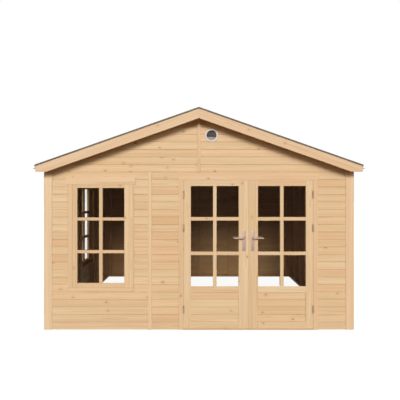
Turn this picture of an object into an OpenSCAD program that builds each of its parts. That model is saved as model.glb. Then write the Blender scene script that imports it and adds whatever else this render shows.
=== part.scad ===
// Timber garden cabin, built from boarded wall panels between corner posts, with a felted gable roof,
// a glazed double door and two barred windows. Millimetres. X runs to the right along the front,
// Y runs from the front to the rear, Z is up, and the origin is on the ground under the middle.

/* [Wall panels] */
// Width and depth of a corner post
post_w = 100; // [90:1:120]
// How far the corner posts stand proud of the boards
post_proud = 8; // [4:1:12]
// Width of the front panel that holds the window
window_panel_w = 1200; // [1100:10:1300]
// Width of the front panel that holds the double door
door_panel_w = 2400; // [2200:10:2600]
// Width of the middle panel of a side, which holds the window on the left
side_window_panel_w = 1200; // [1100:10:1300]
// Width of the plain panels before and behind the middle panel of a side
side_panel_w = 900; // [700:10:1200]
// Cover width of one board
board_pitch = 92; // [88:0.5:96]
// Number of boards from the ground to the eaves
board_count = 21; // [21:1:23]
// Thickness of the boards
board_t = 19; // [16:1:24]
// Width of the V joint between two boards
vee_w = 10; // [6:1:14]
// Depth of the V joint between two boards
vee_d = 4; // [2:0.5:6]
// Thickness of a stud or plate, seen from the front
stud_w = 45; // [35:1:60]
// Depth of the studs and plates behind the boards
stud_d = 75; // [60:1:95]
// Largest distance between two studs of the rear and side walls, centre to centre
stud_step = 600; // [500:10:700]
// Width of the strips that cover the joints between panels
strip_w = 42; // [34:1:60]
// Thickness of the strips that cover the joints between panels
strip_t = 12; // [8:1:18]

/* [Roof] */
// Pitch of the roof in degrees
pitch = 19.35; // [17:0.05:22]
// Height of the eaves beam at its outer face
eaves_h = 59; // [50:1:80]
// Width of the eaves beam
eaves_w = 70; // [50:1:90]
// How far the roof boards pass the side walls
eaves_over = 43; // [35:1:80]
// How far the roof passes the front and rear walls
verge_over = 160; // [100:5:260]
// Thickness of the roof boards
deck_t = 19; // [16:1:24]
// Thickness of the roofing felt
felt_t = 4; // [3:0.5:6]
// How far the felt passes the edge of the roof boards at the eaves
felt_over = 7; // [4:1:15]
// Width of the bargeboards, across the grain
barge_w = 107; // [95:1:125]
// Thickness of the bargeboards
barge_t = 20; // [16:1:25]
// Height of the level cut at the foot of a bargeboard, below the wall top
barge_drop = 4; // [0:1:20]
// Height of the verge trim above the roof boards
verge_trim_h = 20; // [14:1:30]
// Width of the verge trim
verge_trim_w = 40; // [30:1:60]
// How far the verge trim stands in front of the bargeboard
verge_trim_lip = 3; // [1:1:6]
// Depth of the rafters, square to the slope
rafter_d = 95; // [80:1:120]
// Thickness of the rafters and the ridge beam
rafter_t = 45; // [35:1:60]
// Height of the ridge beam
ridge_h = 145; // [120:1:180]
// How far the drip edge stands out from the roof boards
drip_out = 28; // [15:1:40]
// Height of the drip edge
drip_h = 27; // [20:1:40]
// Sheet thickness of the drip edge
drip_t = 2; // [1.5:0.5:4]

/* [Double door] */
// Offset of the meeting line from the middle of the door panel
door_shift = 4; // [-20:1:20]
// Width of one leaf
leaf_w = 786; // [740:1:820]
// Distance from the wall top down to the leaves' top edge
door_drop = 106; // [96:1:160]
// Thickness of a leaf
leaf_t = 40; // [36:1:50]
// Clearance round the leaves
leaf_gap = 5; // [5:0.5:8]
// Width of the stile on the hinge side
hinge_stile_w = 85.5; // [75:0.5:100]
// Width of the stile on the meeting side
meeting_stile_w = 115.5; // [100:0.5:130]
// Height of the top rail
top_rail_h = 66; // [55:1:90]
// Height of the rail under the glass
lock_rail_h = 82; // [70:1:110]
// Height of the bottom rail
bottom_rail_h = 80; // [70:1:120]
// Height of the boarded panel between the two lower rails
door_panel_h = 352; // [300:1:420]
// How far the boarded panel lies behind the face of the leaf
panel_recess = 12; // [8:1:16]
// Thickness of the boarded panel
panel_t = 15; // [12:1:18]
// Width of the glazing bars of the leaves
door_bar_w = 43; // [30:1:55]
// Columns of panes in a leaf
door_cols = 2; // [1:1:3]
// Rows of panes in a leaf
door_rows = 3; // [2:1:4]
// Thickness of the jambs and the head of the door frame
jamb_t = 40; // [30:1:50]
// How far the door stops stand out from the jambs
stop_w = 15; // [10:1:20]
// Height of the threshold under the leaves
threshold_h = 15; // [10:1:30]
// Width of the casing boards beside the door
door_casing_w = 52; // [44:1:70]
// Height of the casing board over the door
door_head_h = 86; // [70:1:90]
// How far the head casing passes the side casings
head_ear = 9; // [0:1:20]
// Thickness of all casing boards
casing_t = 20; // [16:1:24]
// How far a casing board stays back from the edge that it frames
quirk = 3.5; // [2:0.5:5]

/* [Door furniture] */
// Height of one hinge
hinge_h = 88; // [70:1:110]
// Radius of the hinge knuckles
knuckle_r = 8; // [6:0.5:9]
// Radius of the hinge pins
pin_r = 3.5; // [3:0.1:4]
// Radial clearance of the hinge pins and the lever shafts
running_clear = 0.05; // [0.02:0.01:0.1]
// Depth of the hinge plates
hinge_plate_d = 36; // [30:1:40]
// Height of the lowest hinge's middle above the ground
low_hinge_z = 252; // [200:1:400]
// Height of the middle hinge's middle above the ground
mid_hinge_z = 1248; // [1100:1:1350]
// Height of the highest hinge's middle above the ground
high_hinge_z = 1657; // [1550:1:1700]
// Width of a handle plate
plate_w = 46; // [38:1:50]
// Height of a handle plate
plate_h = 250; // [200:1:280]
// Thickness of a handle plate
plate_t = 6; // [4:1:9]
// Height of a handle plate's foot above the ground
plate_z = 963; // [920:1:1000]
// Distance from the leaf's meeting edge to the middle of the handle plate
plate_in = 52; // [40:1:58]
// Height of the levers above the ground
lever_z = 1126; // [1080:1:1150]
// Length of a lever from the axis of its shaft to its tip
lever_len = 131; // [110:1:145]
// Height of a lever's grip
lever_h = 16; // [12:1:20]
// Thickness of a lever's grip
lever_t = 13; // [10:1:16]
// Distance from the handle plate to the lever's grip
lever_out = 36; // [30:1:45]
// Radius of the lever's shaft
shaft_r = 8.5; // [7:0.5:10]
// Distance from the lever's shaft down to the lock cylinder
lock_drop = 72; // [60:1:85]

/* [Windows] */
// Offset of the front window from the middle of its panel
window_shift = -2; // [-20:1:20]
// Width of the glazed field of a window
glazed_w = 575; // [500:1:620]
// Height of the glazed field of a window
glazed_h = 1161; // [1000:1:1400]
// Distance from the wall top down to the top of the glazed field
window_drop = 196; // [175:1:260]
// Width of the stiles and the bottom rail of a window
sash_w = 57; // [45:1:65]
// Height of the top rail of a window
sash_top_h = 45; // [40:1:60]
// Depth of a window sash
sash_d = 44; // [36:1:56]
// How far a window sash lies behind the face of its casing
sash_back = 10; // [6:1:16]
// Thickness of the lining round a window
lining_t = 20; // [16:1:28]
// Width of the glazing bars of the windows
window_bar_w = 43; // [30:1:55]
// Height of the cross bars of the windows
window_cross_h = 38; // [30:1:50]
// Columns of panes in a window
window_cols = 2; // [1:1:3]
// Rows of panes in a window
window_rows = 3; // [2:1:4]
// Width of the casing boards beside a window
window_casing_w = 60; // [50:1:75]
// Height of the casing board under a window
window_sill_h = 52; // [44:1:70]
// Height of the casing board over a window
window_head_h = 87; // [70:1:90]
// How far the head casing passes the side casings
window_ear = 20; // [0:1:30]
// Thickness of the glass
glass_t = 4; // [3:0.5:6]
// Depth of the grooves that hold glass and panels
groove_d = 8; // [5:1:10]

/* [Vent] */
// Distance of the vent to the right of the gable's middle
vent_x = 154; // [120:1:250]
// Distance from the gable's peak down to the vent
vent_drop = 274; // [200:1:400]
// Radius of the vent's clear opening
vent_r = 60; // [50:1:65]
// Radius of the vent's flange
vent_flange_r = 83; // [75:1:90]
// Thickness of the vent's flange
vent_flange_t = 8; // [5:1:12]
// Wall thickness of the vent's sleeve
vent_wall = 3; // [2:0.5:5]

/* [Hidden] */
$fn = 48;
joint = 0.4;
arris = 2;
wall_x = post_w + (window_panel_w + door_panel_w) / 2;
wall_y = post_w + side_panel_w + side_window_panel_w / 2;
wall_h = board_count * board_pitch;
face_x = wall_x - post_proud;
face_y = wall_y - post_proud;
frame_x = face_x - board_t;
frame_y = face_y - board_t;
inner_x = frame_x - stud_d;
inner_y = frame_y - stud_d;
bay_x = wall_x - post_w;
bay_y = wall_y - post_w;
front_run = bay_x - joint;
side_run = min(bay_y, inner_y) - joint;
panel_joint_x = -bay_x + window_panel_w;
side_joint = side_window_panel_w / 2;
wall_depth = board_t + stud_d;

slope = tan(pitch);
upright = 1 / cos(pitch);
roof_x = wall_x + eaves_over;
roof_y = wall_y + verge_over;
apex = wall_h + eaves_h + slope * face_x;
deck_v = deck_t * upright;
felt_v = felt_t * upright;
barge_v = barge_w * upright;
bed = 0.1;
felt_low = bed + deck_v + bed;
rafter_v = rafter_d * upright;

door_x = panel_joint_x + door_panel_w / 2 + door_shift;
leaf_half = leaf_w + leaf_gap / 2;
jamb_half = leaf_half + leaf_gap;
frame_half = jamb_half + jamb_t;
leaf_foot = threshold_h + leaf_gap;
leaf_top = wall_h - door_drop;
head_z = leaf_top + leaf_gap;
leaf_set = 6;
leaf_y = -face_y - casing_t + leaf_set;
stop_y = leaf_y + leaf_t + leaf_gap;
panel_foot = leaf_foot + bottom_rail_h;
panel_top = panel_foot + door_panel_h;
door_glass_z = panel_top + lock_rail_h;
door_glass_h = leaf_top - top_rail_h - door_glass_z;
door_glass_w = leaf_w - hinge_stile_w - meeting_stile_w;
door_glass_y = 18;
pin_out = leaf_set + knuckle_r + 1;
pin_in = leaf_gap / 2;
hinge_plate_t = leaf_gap / 2 - 0.5;
hinge_zs = [low_hinge_z, mid_hinge_z, high_hinge_z];
knuckle_gap = 0.3;
plate_mid_x = leaf_w - plate_in;

glazed_z = wall_h - window_drop - glazed_h;
window_x = -bay_x + window_panel_w / 2 + window_shift;
sash_half = glazed_w / 2 + sash_w;
sash_foot = glazed_z - sash_w;
sash_top = glazed_z + glazed_h + sash_top_h;
hole_half = sash_half + lining_t;
hole_foot = sash_foot - lining_t;
hole_top = sash_top + lining_t;
vent_z = apex - vent_drop;

// Underside of the roof boards at a distance from the middle
function under_roof(x) = apex - slope * abs(x);

// True where a height is a joint between two boards
function on_joint(z) = z > 0 && abs(z - board_pitch * round(z / board_pitch)) < 0.01;

// The outer edge of a stack of boards, from its foot to its top, with a V at each joint
function vee_edge(foot, top) = concat(
    on_joint(foot) ? [[vee_d, foot], [0, foot + vee_w / 2]] : [[0, foot]],
    [for (k = [1 : ceil(top / board_pitch)])
        let (z = k * board_pitch)
        if (z > foot + vee_w && z < top - vee_w)
            each [[0, z - vee_w / 2], [vee_d, z], [0, z + vee_w / 2]]],
    on_joint(top) ? [[0, top - vee_w / 2], [vee_d, top]] : [[0, top]]);

// Boards stacked from foot to top: they run along X, their face looks to -Y
module boarding(length, foot, top, thickness) {
    rotate([90, 0, 90])
        linear_extrude(length)
            polygon(concat(vee_edge(foot, top), [[thickness, top], [thickness, foot]]));
}

// A board seen face on from -Y, with its two long front edges eased: upright along Z
module trim_board(width, length, thickness) {
    linear_extrude(length)
        polygon([
            [-width / 2, 0],
            [-width / 2, arris - thickness],
            [arris - width / 2, -thickness],
            [width / 2 - arris, -thickness],
            [width / 2, arris - thickness],
            [width / 2, 0]]);
}

// The same board laid level along X, from its left end at the origin
module level_board(width, length, thickness) {
    translate([0, 0, width / 2])
        rotate([0, 90, 0])
            trim_board(width, length, thickness);
}

// A flat shape drawn in X and Z, made solid from y_front to y_rear
module upright_slab(y_front, y_rear) {
    translate([0, y_rear, 0])
        rotate([90, 0, 0])
            linear_extrude(y_rear - y_front)
                children();
}

// What faces -Y at the front, turned to face the left side
module on_left_side() {
    rotate([0, 0, -90])
        children();
}

// Everything at the front, mirrored to the rear
module at_rear() {
    mirror([0, 1, 0])
        children();
}

// Things made for the left half of the roof, mirrored to the right half
module at_right() {
    mirror([1, 0, 0])
        children();
}

module plate_timber(length, z) {
    translate([0, 0, z])
        cube([length, stud_d, stud_w]);
}

module wall_plates() {
    color("burlywood") {
        translate([-front_run, -frame_y, 0])
            plate_timber(front_run + door_x - frame_half, 0);
        translate([door_x + frame_half, -frame_y, 0])
            plate_timber(front_run - door_x - frame_half, 0);
        translate([-front_run, -frame_y, 0])
            plate_timber(2 * front_run, wall_h - stud_w);
        for (z = [0, wall_h - stud_w]) {
            translate([-front_run, inner_y, 0])
                plate_timber(2 * front_run, z);
            for (side = [0, 1])
                mirror([side, 0, 0])
                    translate([-frame_x, side_run, 0])
                        rotate([0, 0, -90])
                            plate_timber(2 * side_run, z);
        }
    }
}

// One stud of a wall that faces -Y, its left side at x
module stud(x, front) {
    translate([x, front, stud_w])
        cube([stud_w, stud_d, wall_h - 2 * stud_w]);
}

// Studs at the panel joint on each side of a wall's middle, and at even steps from there to the end
module outer_studs(half, joint_x, front) {
    run = half - stud_w / 2 - joint_x;
    steps = ceil(run / stud_step);
    for (side = [0, 1])
        mirror([side, 0, 0])
            for (k = [0 : steps])
                stud(joint_x + k * run / steps - stud_w / 2, front);
}

// Studs at even steps between the two panel joints of a wall
module middle_studs(joint_x, front) {
    steps = ceil(2 * joint_x / stud_step);
    for (k = [1 : steps - 1])
        stud(-joint_x + 2 * joint_x * k / steps - stud_w / 2, front);
}

module wall_studs() {
    color("burlywood") {
        stud(-front_run, -frame_y);
        stud(window_x - hole_half - stud_w, -frame_y);
        stud(window_x + hole_half, -frame_y);
        stud(panel_joint_x - stud_w / 2, -frame_y);
        stud(door_x - frame_half - stud_w, -frame_y);
        stud(door_x + frame_half, -frame_y);
        stud(front_run - stud_w, -frame_y);
        at_rear() {
            outer_studs(front_run, -panel_joint_x, -frame_y);
            middle_studs(-panel_joint_x, -frame_y);
        }
        at_right()
            on_left_side() {
                outer_studs(side_run, side_joint, -frame_x);
                middle_studs(side_joint, -frame_x);
            }
        on_left_side() {
            outer_studs(side_run, side_joint, -frame_x);
            stud(-hole_half - stud_w, -frame_x);
            stud(hole_half, -frame_x);
        }
    }
}

module corner_posts() {
    color("burlywood")
        for (x = [0, 1])
            for (y = [0, 1])
                mirror([x, 0, 0])
                    mirror([0, y, 0])
                        translate([-wall_x, -wall_y, 0])
                            linear_extrude(wall_h)
                                polygon([
                                    [arris * 2, 0],
                                    [post_w - arris, 0],
                                    [post_w, arris],
                                    [post_w, post_w],
                                    [arris, post_w],
                                    [0, post_w - arris],
                                    [0, arris * 2]]);
}

// A rectangular hole for a window, in a wall that faces -Y
module window_hole(x, face) {
    translate([x - hole_half, face - 1, hole_foot])
        cube([2 * hole_half, board_t + 2, hole_top - hole_foot]);
}

module front_window_boards() {
    color("wheat")
        difference() {
            translate([-bay_x, -face_y, 0])
                boarding(window_panel_w, 0, wall_h, board_t);
            window_hole(window_x, -face_y);
        }
}

module door_panel_boards() {
    color("wheat") {
        translate([panel_joint_x, -face_y, 0])
            boarding(door_x - frame_half - panel_joint_x, 0, wall_h, board_t);
        translate([door_x + frame_half, -face_y, 0])
            boarding(bay_x - door_x - frame_half, 0, wall_h, board_t);
        translate([door_x - frame_half + joint, -face_y, 0])
            boarding(2 * (frame_half - joint), head_z + jamb_t, wall_h, board_t);
    }
}

module rear_boards() {
    color("wheat")
        at_rear()
            translate([-bay_x, -face_y, 0])
                boarding(2 * bay_x, 0, wall_h, board_t);
}

module left_boards() {
    color("wheat")
        on_left_side()
            difference() {
                translate([-bay_y, -face_x, 0])
                    boarding(2 * bay_y, 0, wall_h, board_t);
                window_hole(0, -face_x);
            }
}

module right_boards() {
    color("wheat")
        at_right()
            on_left_side()
                translate([-bay_y, -face_x, 0])
                    boarding(2 * bay_y, 0, wall_h, board_t);
}

// The gable's outline between the wall top and the roof boards
module gable_outline() {
    polygon([
        [-face_x, wall_h],
        [face_x, wall_h],
        [face_x, under_roof(face_x)],
        [0, apex],
        [-face_x, under_roof(face_x)]]);
}

module gable_boards() {
    intersection() {
        translate([-face_x, -face_y, 0])
            boarding(2 * face_x, wall_h, apex + board_pitch, board_t);
        upright_slab(-face_y - 1, -frame_y)
            gable_outline();
    }
}

module front_gable() {
    color("wheat")
        difference() {
            gable_boards();
            translate([vent_x, -frame_y + 1, vent_z])
                rotate([90, 0, 0])
                    cylinder(h = board_t + 2, r = vent_r + vent_wall);
        }
}

module rear_gable() {
    color("wheat")
        at_rear()
            gable_boards();
}

module wall_strip(x, face) {
    translate([x, face, 0])
        trim_board(strip_w, wall_h - joint, strip_t);
}

// The strip in the middle of a gable, cut to a point under the roof boards
module gable_strip() {
    intersection() {
        translate([0, -face_y, wall_h])
            trim_board(strip_w, apex - wall_h, strip_t);
        upright_slab(-face_y - strip_t - 1, -face_y)
            gable_outline();
    }
}

module joint_strips() {
    color("wheat") {
        wall_strip(panel_joint_x, -face_y);
        gable_strip();
        at_rear() {
            wall_strip(panel_joint_x, -face_y);
            wall_strip(-panel_joint_x, -face_y);
            gable_strip();
        }
        for (side = [0, 1])
            mirror([side, 0, 0])
                on_left_side() {
                    wall_strip(side_joint, -face_x);
                    wall_strip(-side_joint, -face_x);
                }
    }
}

// Casing boards round a window in a wall that faces -Y
module window_casing(x, face) {
    side_top = sash_top - joint;
    side_foot = sash_foot + joint;
    for (side = [-1, 1])
        translate([x + side * (sash_half + window_casing_w / 2), face, side_foot])
            trim_board(window_casing_w, side_top - side_foot, casing_t);
    translate([x - sash_half - window_casing_w, face, sash_foot - window_sill_h])
        level_board(window_sill_h, 2 * (sash_half + window_casing_w), casing_t);
    translate([x - sash_half - window_casing_w - window_ear, face, sash_top])
        level_board(window_head_h, 2 * (sash_half + window_casing_w + window_ear), casing_t);
}

// The glass of a glazed field: it reaches into the grooves of its frame
module glass_sheet(x, y, z, width, height) {
    translate([x - groove_d, y, z - groove_d])
        cube([width + 2 * groove_d, glass_t, height + 2 * groove_d]);
}

// Upright and level glazing bars of a field, its foot at z and its left side at x
module glazing_bars(x, y, z, width, height, cols, rows, bar_w, cross_h, depth) {
    pane_w = (width - (cols - 1) * bar_w) / cols;
    pane_h = (height - (rows - 1) * cross_h) / rows;
    for (c = [1 : 1 : cols - 1])
        translate([x + c * (pane_w + bar_w) - bar_w / 2, y + depth, z])
            trim_board(bar_w, height, depth);
    for (r = [1 : 1 : rows - 1])
        translate([x, y + depth, z + r * (pane_h + cross_h) - cross_h])
            level_board(cross_h, width, depth);
}

module window_frame(x, face) {
    sash_y = face - casing_t + sash_back;
    difference() {
        union() {
            difference() {
                translate([x - hole_half, face, hole_foot])
                    cube([2 * hole_half, wall_depth, hole_top - hole_foot]);
                translate([x - sash_half, face - 1, sash_foot])
                    cube([2 * sash_half, wall_depth + 2, sash_top - sash_foot]);
            }
            difference() {
                translate([x - sash_half, sash_y, sash_foot])
                    cube([2 * sash_half, sash_d, sash_top - sash_foot]);
                translate([x - glazed_w / 2, sash_y - 1, glazed_z])
                    cube([glazed_w, sash_d + 2, glazed_h]);
            }
            glazing_bars(x - glazed_w / 2, sash_y, glazed_z, glazed_w, glazed_h,
                window_cols, window_rows, window_bar_w, window_cross_h, sash_d);
        }
        window_glass(x, face);
    }
}

module window_glass(x, face) {
    glass_sheet(x - glazed_w / 2, face - casing_t + sash_back + sash_d / 2, glazed_z, glazed_w, glazed_h);
}

module front_window_casing() {
    color("wheat")
        window_casing(window_x, -face_y);
}

module front_window_frame() {
    color("burlywood")
        window_frame(window_x, -face_y);
}

module front_window_glass() {
    color("lightblue", 0.4)
        window_glass(window_x, -face_y);
}

module side_window_casing() {
    color("wheat")
        on_left_side()
            window_casing(0, -face_x);
}

module side_window_frame() {
    color("burlywood")
        on_left_side()
            window_frame(0, -face_x);
}

module side_window_glass() {
    color("lightblue", 0.4)
        on_left_side()
            window_glass(0, -face_x);
}

module door_casing() {
    inner = jamb_half + quirk;
    foot = head_z + quirk;
    color("wheat") {
        for (side = [-1, 1])
            translate([door_x + side * (inner + door_casing_w / 2), -face_y, 0])
                trim_board(door_casing_w, foot - joint, casing_t);
        translate([door_x - inner - door_casing_w - head_ear, -face_y, foot])
            level_board(door_head_h, 2 * (inner + door_casing_w + head_ear), casing_t);
    }
}

// Jambs and head, each with a stop that the leaves close against
module door_frame() {
    color("burlywood") {
        for (side = [0, 1])
            translate([door_x, 0, 0])
                mirror([side, 0, 0]) {
                    translate([jamb_half, -face_y, 0])
                        cube([jamb_t, wall_depth, head_z - joint]);
                    translate([jamb_half - stop_w, stop_y, threshold_h + joint])
                        cube([stop_w + 1, -inner_y - stop_y, head_z - threshold_h - 2 * joint]);
                }
        translate([door_x - frame_half, -face_y, head_z])
            cube([2 * frame_half, wall_depth, jamb_t]);
        translate([door_x - jamb_half + stop_w + joint, stop_y, head_z - stop_w])
            cube([2 * (jamb_half - stop_w - joint), -inner_y - stop_y, stop_w + 1]);
    }
}

module door_threshold() {
    color("burlywood")
        translate([door_x - jamb_half, 0, 0])
            rotate([90, 0, 90])
                linear_extrude(2 * jamb_half)
                    polygon([
                        [-face_y - casing_t, 0],
                        [-inner_y, 0],
                        [-inner_y, threshold_h],
                        [-face_y, threshold_h],
                        [-face_y - casing_t, threshold_h - arris * 2]]);
}

// A leaf is drawn with its hinge edge at x = 0, its front face at y = 0 and true heights in z
module place_left_leaf() {
    translate([door_x - leaf_half, leaf_y, 0])
        children();
}

module place_right_leaf() {
    translate([door_x + leaf_half, leaf_y, 0])
        mirror([1, 0, 0])
            children();
}

module leaf_panel() {
    translate([hinge_stile_w - groove_d, panel_recess, 0])
        boarding(door_glass_w + 2 * groove_d, panel_foot - groove_d, panel_top + groove_d, panel_t);
}

module leaf_panel_groove() {
    translate([hinge_stile_w - groove_d, panel_recess, panel_foot - groove_d])
        cube([door_glass_w + 2 * groove_d, panel_t, door_panel_h + 2 * groove_d]);
}

module leaf_glass() {
    glass_sheet(hinge_stile_w, door_glass_y, door_glass_z, door_glass_w, door_glass_h);
}

module leaf_frame() {
    difference() {
        union() {
            difference() {
                translate([0, 0, leaf_foot])
                    cube([leaf_w, leaf_t, leaf_top - leaf_foot]);
                translate([hinge_stile_w, -1, panel_foot])
                    cube([door_glass_w, leaf_t + 2, door_panel_h]);
                translate([hinge_stile_w, -1, door_glass_z])
                    cube([door_glass_w, leaf_t + 2, door_glass_h]);
            }
            glazing_bars(hinge_stile_w, 0, door_glass_z, door_glass_w, door_glass_h,
                door_cols, door_rows, door_bar_w, door_bar_w, leaf_t);
        }
        leaf_glass();
        leaf_panel_groove();
        translate([plate_mid_x, leaf_t + 1, lever_z])
            rotate([90, 0, 0])
                cylinder(h = leaf_t + 2, r = shaft_r + 2);
    }
}

// A hinge pin's axis, at the middle height of one hinge
module at_hinges() {
    for (z = hinge_zs)
        translate([-pin_in, -pin_out, z])
            children();
}

// The half that is screwed to the leaf: the middle knuckle, bored for the pin
module leaf_hinge() {
    knuckle_h = hinge_h / 3 - 2 * knuckle_gap;
    reach = knuckle_r + 1;
    difference() {
        union() {
            translate([0, 0, -knuckle_h / 2])
                cylinder(h = knuckle_h, r = knuckle_r);
            translate([pin_in - hinge_plate_t, 0, -knuckle_h / 2])
                cube([hinge_plate_t, reach + 1, knuckle_h]);
        }
        translate([0, 0, -knuckle_h / 2 - 1])
            cylinder(h = knuckle_h + 2, r = pin_r + running_clear);
    }
    translate([pin_in - hinge_plate_t, reach, -hinge_h / 2])
        cube([hinge_plate_t, hinge_plate_d, hinge_h]);
}

// The half that is screwed to the jamb: the outer knuckles with the pin
module jamb_hinge() {
    knuckle_h = hinge_h / 3;
    reach = knuckle_r + 1;
    tip_h = 4;
    tip_r = knuckle_r - 2;
    cylinder(h = hinge_h, r = pin_r, center = true);
    for (side = [-1, 1])
        translate([0, 0, side * knuckle_h]) {
            cylinder(h = knuckle_h, r = knuckle_r, center = true);
            translate([-pin_in, 0, -knuckle_h / 2])
                cube([hinge_plate_t, reach + 1, knuckle_h]);
        }
    for (side = [0, 1])
        mirror([0, 0, side])
            translate([0, 0, hinge_h / 2])
                cylinder(h = tip_h, r1 = tip_r, r2 = pin_r);
    translate([-pin_in, reach, -hinge_h / 2])
        cube([hinge_plate_t, hinge_plate_d, hinge_h]);
}

module frame_hinges() {
    color("dimgray") {
        place_left_leaf()
            at_hinges()
                jamb_hinge();
        place_right_leaf()
            at_hinges()
                jamb_hinge();
    }
}

module leaf_hinges() {
    at_hinges()
        leaf_hinge();
}

// A handle plate with round corners, its back at y = 0, with the lever's bore and the lock cylinder
module handle_plate() {
    corner_r = 8;
    lock_r = 8.5;
    lock_h = 3;
    difference() {
        translate([0, 0, plate_z])
            rotate([90, 0, 0])
                linear_extrude(plate_t) {
                    translate([-plate_w / 2 + corner_r, 0])
                        square([plate_w - 2 * corner_r, plate_h]);
                    translate([-plate_w / 2, corner_r])
                        square([plate_w, plate_h - 2 * corner_r]);
                    for (x = [corner_r - plate_w / 2, plate_w / 2 - corner_r])
                        for (z = [corner_r, plate_h - corner_r])
                            translate([x, z])
                                circle(corner_r);
                }
        translate([0, 1, lever_z])
            rotate([90, 0, 0])
                cylinder(h = plate_t + 2, r = shaft_r + running_clear);
    }
    translate([0, -plate_t + 1, lever_z - lock_drop])
        rotate([90, 0, 0])
            linear_extrude(lock_h + 1) {
                circle(lock_r);
                translate([-lock_r * 0.6, -lock_r * 2.6])
                    square([lock_r * 1.2, lock_r * 2.2]);
            }
}

module leaf_plates() {
    translate([plate_mid_x, 0, 0])
        handle_plate();
    translate([plate_mid_x, leaf_t, 0])
        mirror([0, 1, 0])
            handle_plate();
}

// One grip, pointing to -X from the shaft's end at y = 0, its back towards +Y
module lever_grip() {
    rotate([90, 0, 0])
        linear_extrude(lever_t) {
            circle(shaft_r + 2);
            translate([lever_h / 2 - lever_len, 0])
                circle(lever_h / 2);
            translate([lever_h / 2 - lever_len, -lever_h / 2])
                square([lever_len - lever_h / 2, lever_h]);
        }
}

module leaf_lever() {
    grip_y = plate_t + lever_out;
    translate([plate_mid_x, 0, lever_z]) {
        translate([0, leaf_t + grip_y + 1, 0])
            rotate([90, 0, 0])
                cylinder(h = leaf_t + 2 * grip_y + 2, r = shaft_r);
        translate([0, -grip_y, 0])
            lever_grip();
        translate([0, leaf_t + grip_y, 0])
            mirror([0, 1, 0])
                lever_grip();
    }
}

module left_door_frame() {
    color("burlywood")
        place_left_leaf()
            leaf_frame();
}

module left_door_panel() {
    color("wheat")
        place_left_leaf()
            leaf_panel();
}

module left_door_glass() {
    color("lightblue", 0.4)
        place_left_leaf()
            leaf_glass();
}

module left_door_hinges() {
    color("dimgray")
        place_left_leaf()
            leaf_hinges();
}

module left_door_plates() {
    color("silver")
        place_left_leaf()
            leaf_plates();
}

module left_lever() {
    color("silver")
        place_left_leaf()
            leaf_lever();
}

module right_door_frame() {
    color("burlywood")
        place_right_leaf()
            leaf_frame();
}

module right_door_panel() {
    color("wheat")
        place_right_leaf()
            leaf_panel();
}

module right_door_glass() {
    color("lightblue", 0.4)
        place_right_leaf()
            leaf_glass();
}

module right_door_hinges() {
    color("dimgray")
        place_right_leaf()
            leaf_hinges();
}

module right_door_plates() {
    color("silver")
        place_right_leaf()
            leaf_plates();
}

module right_lever() {
    color("silver")
        place_right_leaf()
            leaf_lever();
}

module left_eaves_beam() {
    upright_slab(-frame_y, frame_y)
        polygon([
            [-face_x, wall_h],
            [eaves_w - face_x, wall_h],
            [eaves_w - face_x, under_roof(face_x - eaves_w)],
            [-face_x, under_roof(face_x)]]);
}

module eaves_beams() {
    color("burlywood") {
        left_eaves_beam();
        at_right()
            left_eaves_beam();
    }
}

module ridge_beam() {
    color("burlywood")
        upright_slab(-frame_y, frame_y)
            polygon([
                [-rafter_t / 2, apex - ridge_h],
                [rafter_t / 2, apex - ridge_h],
                [rafter_t / 2, under_roof(rafter_t / 2)],
                [0, apex],
                [-rafter_t / 2, under_roof(rafter_t / 2)]]);
}

// One rafter of the left slope, from the ridge beam to the eaves beam, with a level seat at its foot
module left_rafter(y) {
    head = rafter_t / 2;
    foot = face_x - eaves_w;
    seat = (apex - rafter_v - wall_h) / slope;
    upright_slab(y, y + rafter_t)
        polygon([
            [-head, under_roof(head)],
            [-foot, under_roof(foot)],
            [-foot, wall_h],
            [-seat, wall_h],
            [-head, under_roof(head) - rafter_v]]);
}

module rafters() {
    run = 2 * frame_y - rafter_t;
    bays = ceil(run / stud_step);
    color("burlywood")
        for (side = [0, 1])
            mirror([side, 0, 0])
                for (k = [0 : bays])
                    left_rafter(-frame_y + k * run / bays);
}

// A layer of one slope of the roof: its lower face lies a height over the roof boards' underside
module left_slope(over, thickness, x_end, y_end) {
    upright_slab(-y_end, y_end)
        polygon([
            [0, apex + over],
            [-x_end, under_roof(x_end) + over],
            [-x_end, under_roof(x_end) + over + thickness],
            [0, apex + over + thickness]]);
}

module left_roof_boards() {
    color("wheat")
        left_slope(bed, deck_v, roof_x, roof_y - barge_t);
}

module right_roof_boards() {
    color("wheat")
        at_right()
            left_slope(bed, deck_v, roof_x, roof_y - barge_t);
}

module left_felt() {
    left_slope(felt_low, felt_v, roof_x + felt_over, roof_y + verge_trim_lip - verge_trim_w);
}

module left_roof_felt() {
    color("dimgray")
        left_felt();
}

module right_roof_felt() {
    color("dimgray")
        at_right()
            left_felt();
}

// A bargeboard of the left slope: plumb cut at the ridge and at the end, level cut at the foot
module left_bargeboard() {
    top = apex + deck_v;
    foot_z = wall_h - barge_drop;
    foot_x = (top - barge_v - foot_z) / slope;
    upright_slab(-roof_y, barge_t - roof_y)
        polygon([
            [-joint / 2, top],
            [-joint / 2, top - barge_v],
            [-foot_x, foot_z],
            [-roof_x, foot_z],
            [-roof_x, top - slope * roof_x]]);
}

module front_bargeboards() {
    color("wheat")
        for (side = [0, 1])
            mirror([side, 0, 0])
                left_bargeboard();
}

module rear_bargeboards() {
    color("wheat")
        at_rear()
            for (side = [0, 1])
                mirror([side, 0, 0])
                    left_bargeboard();
}

module left_verge_trim() {
    base = apex + felt_low;
    end = roof_x + felt_over;
    upright_slab(-roof_y - verge_trim_lip, verge_trim_w - roof_y - verge_trim_lip)
        polygon([
            [-joint / 2, base],
            [-end, base - slope * end],
            [-end, base - slope * end + verge_trim_h],
            [-joint / 2, base + verge_trim_h]]);
}

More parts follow.
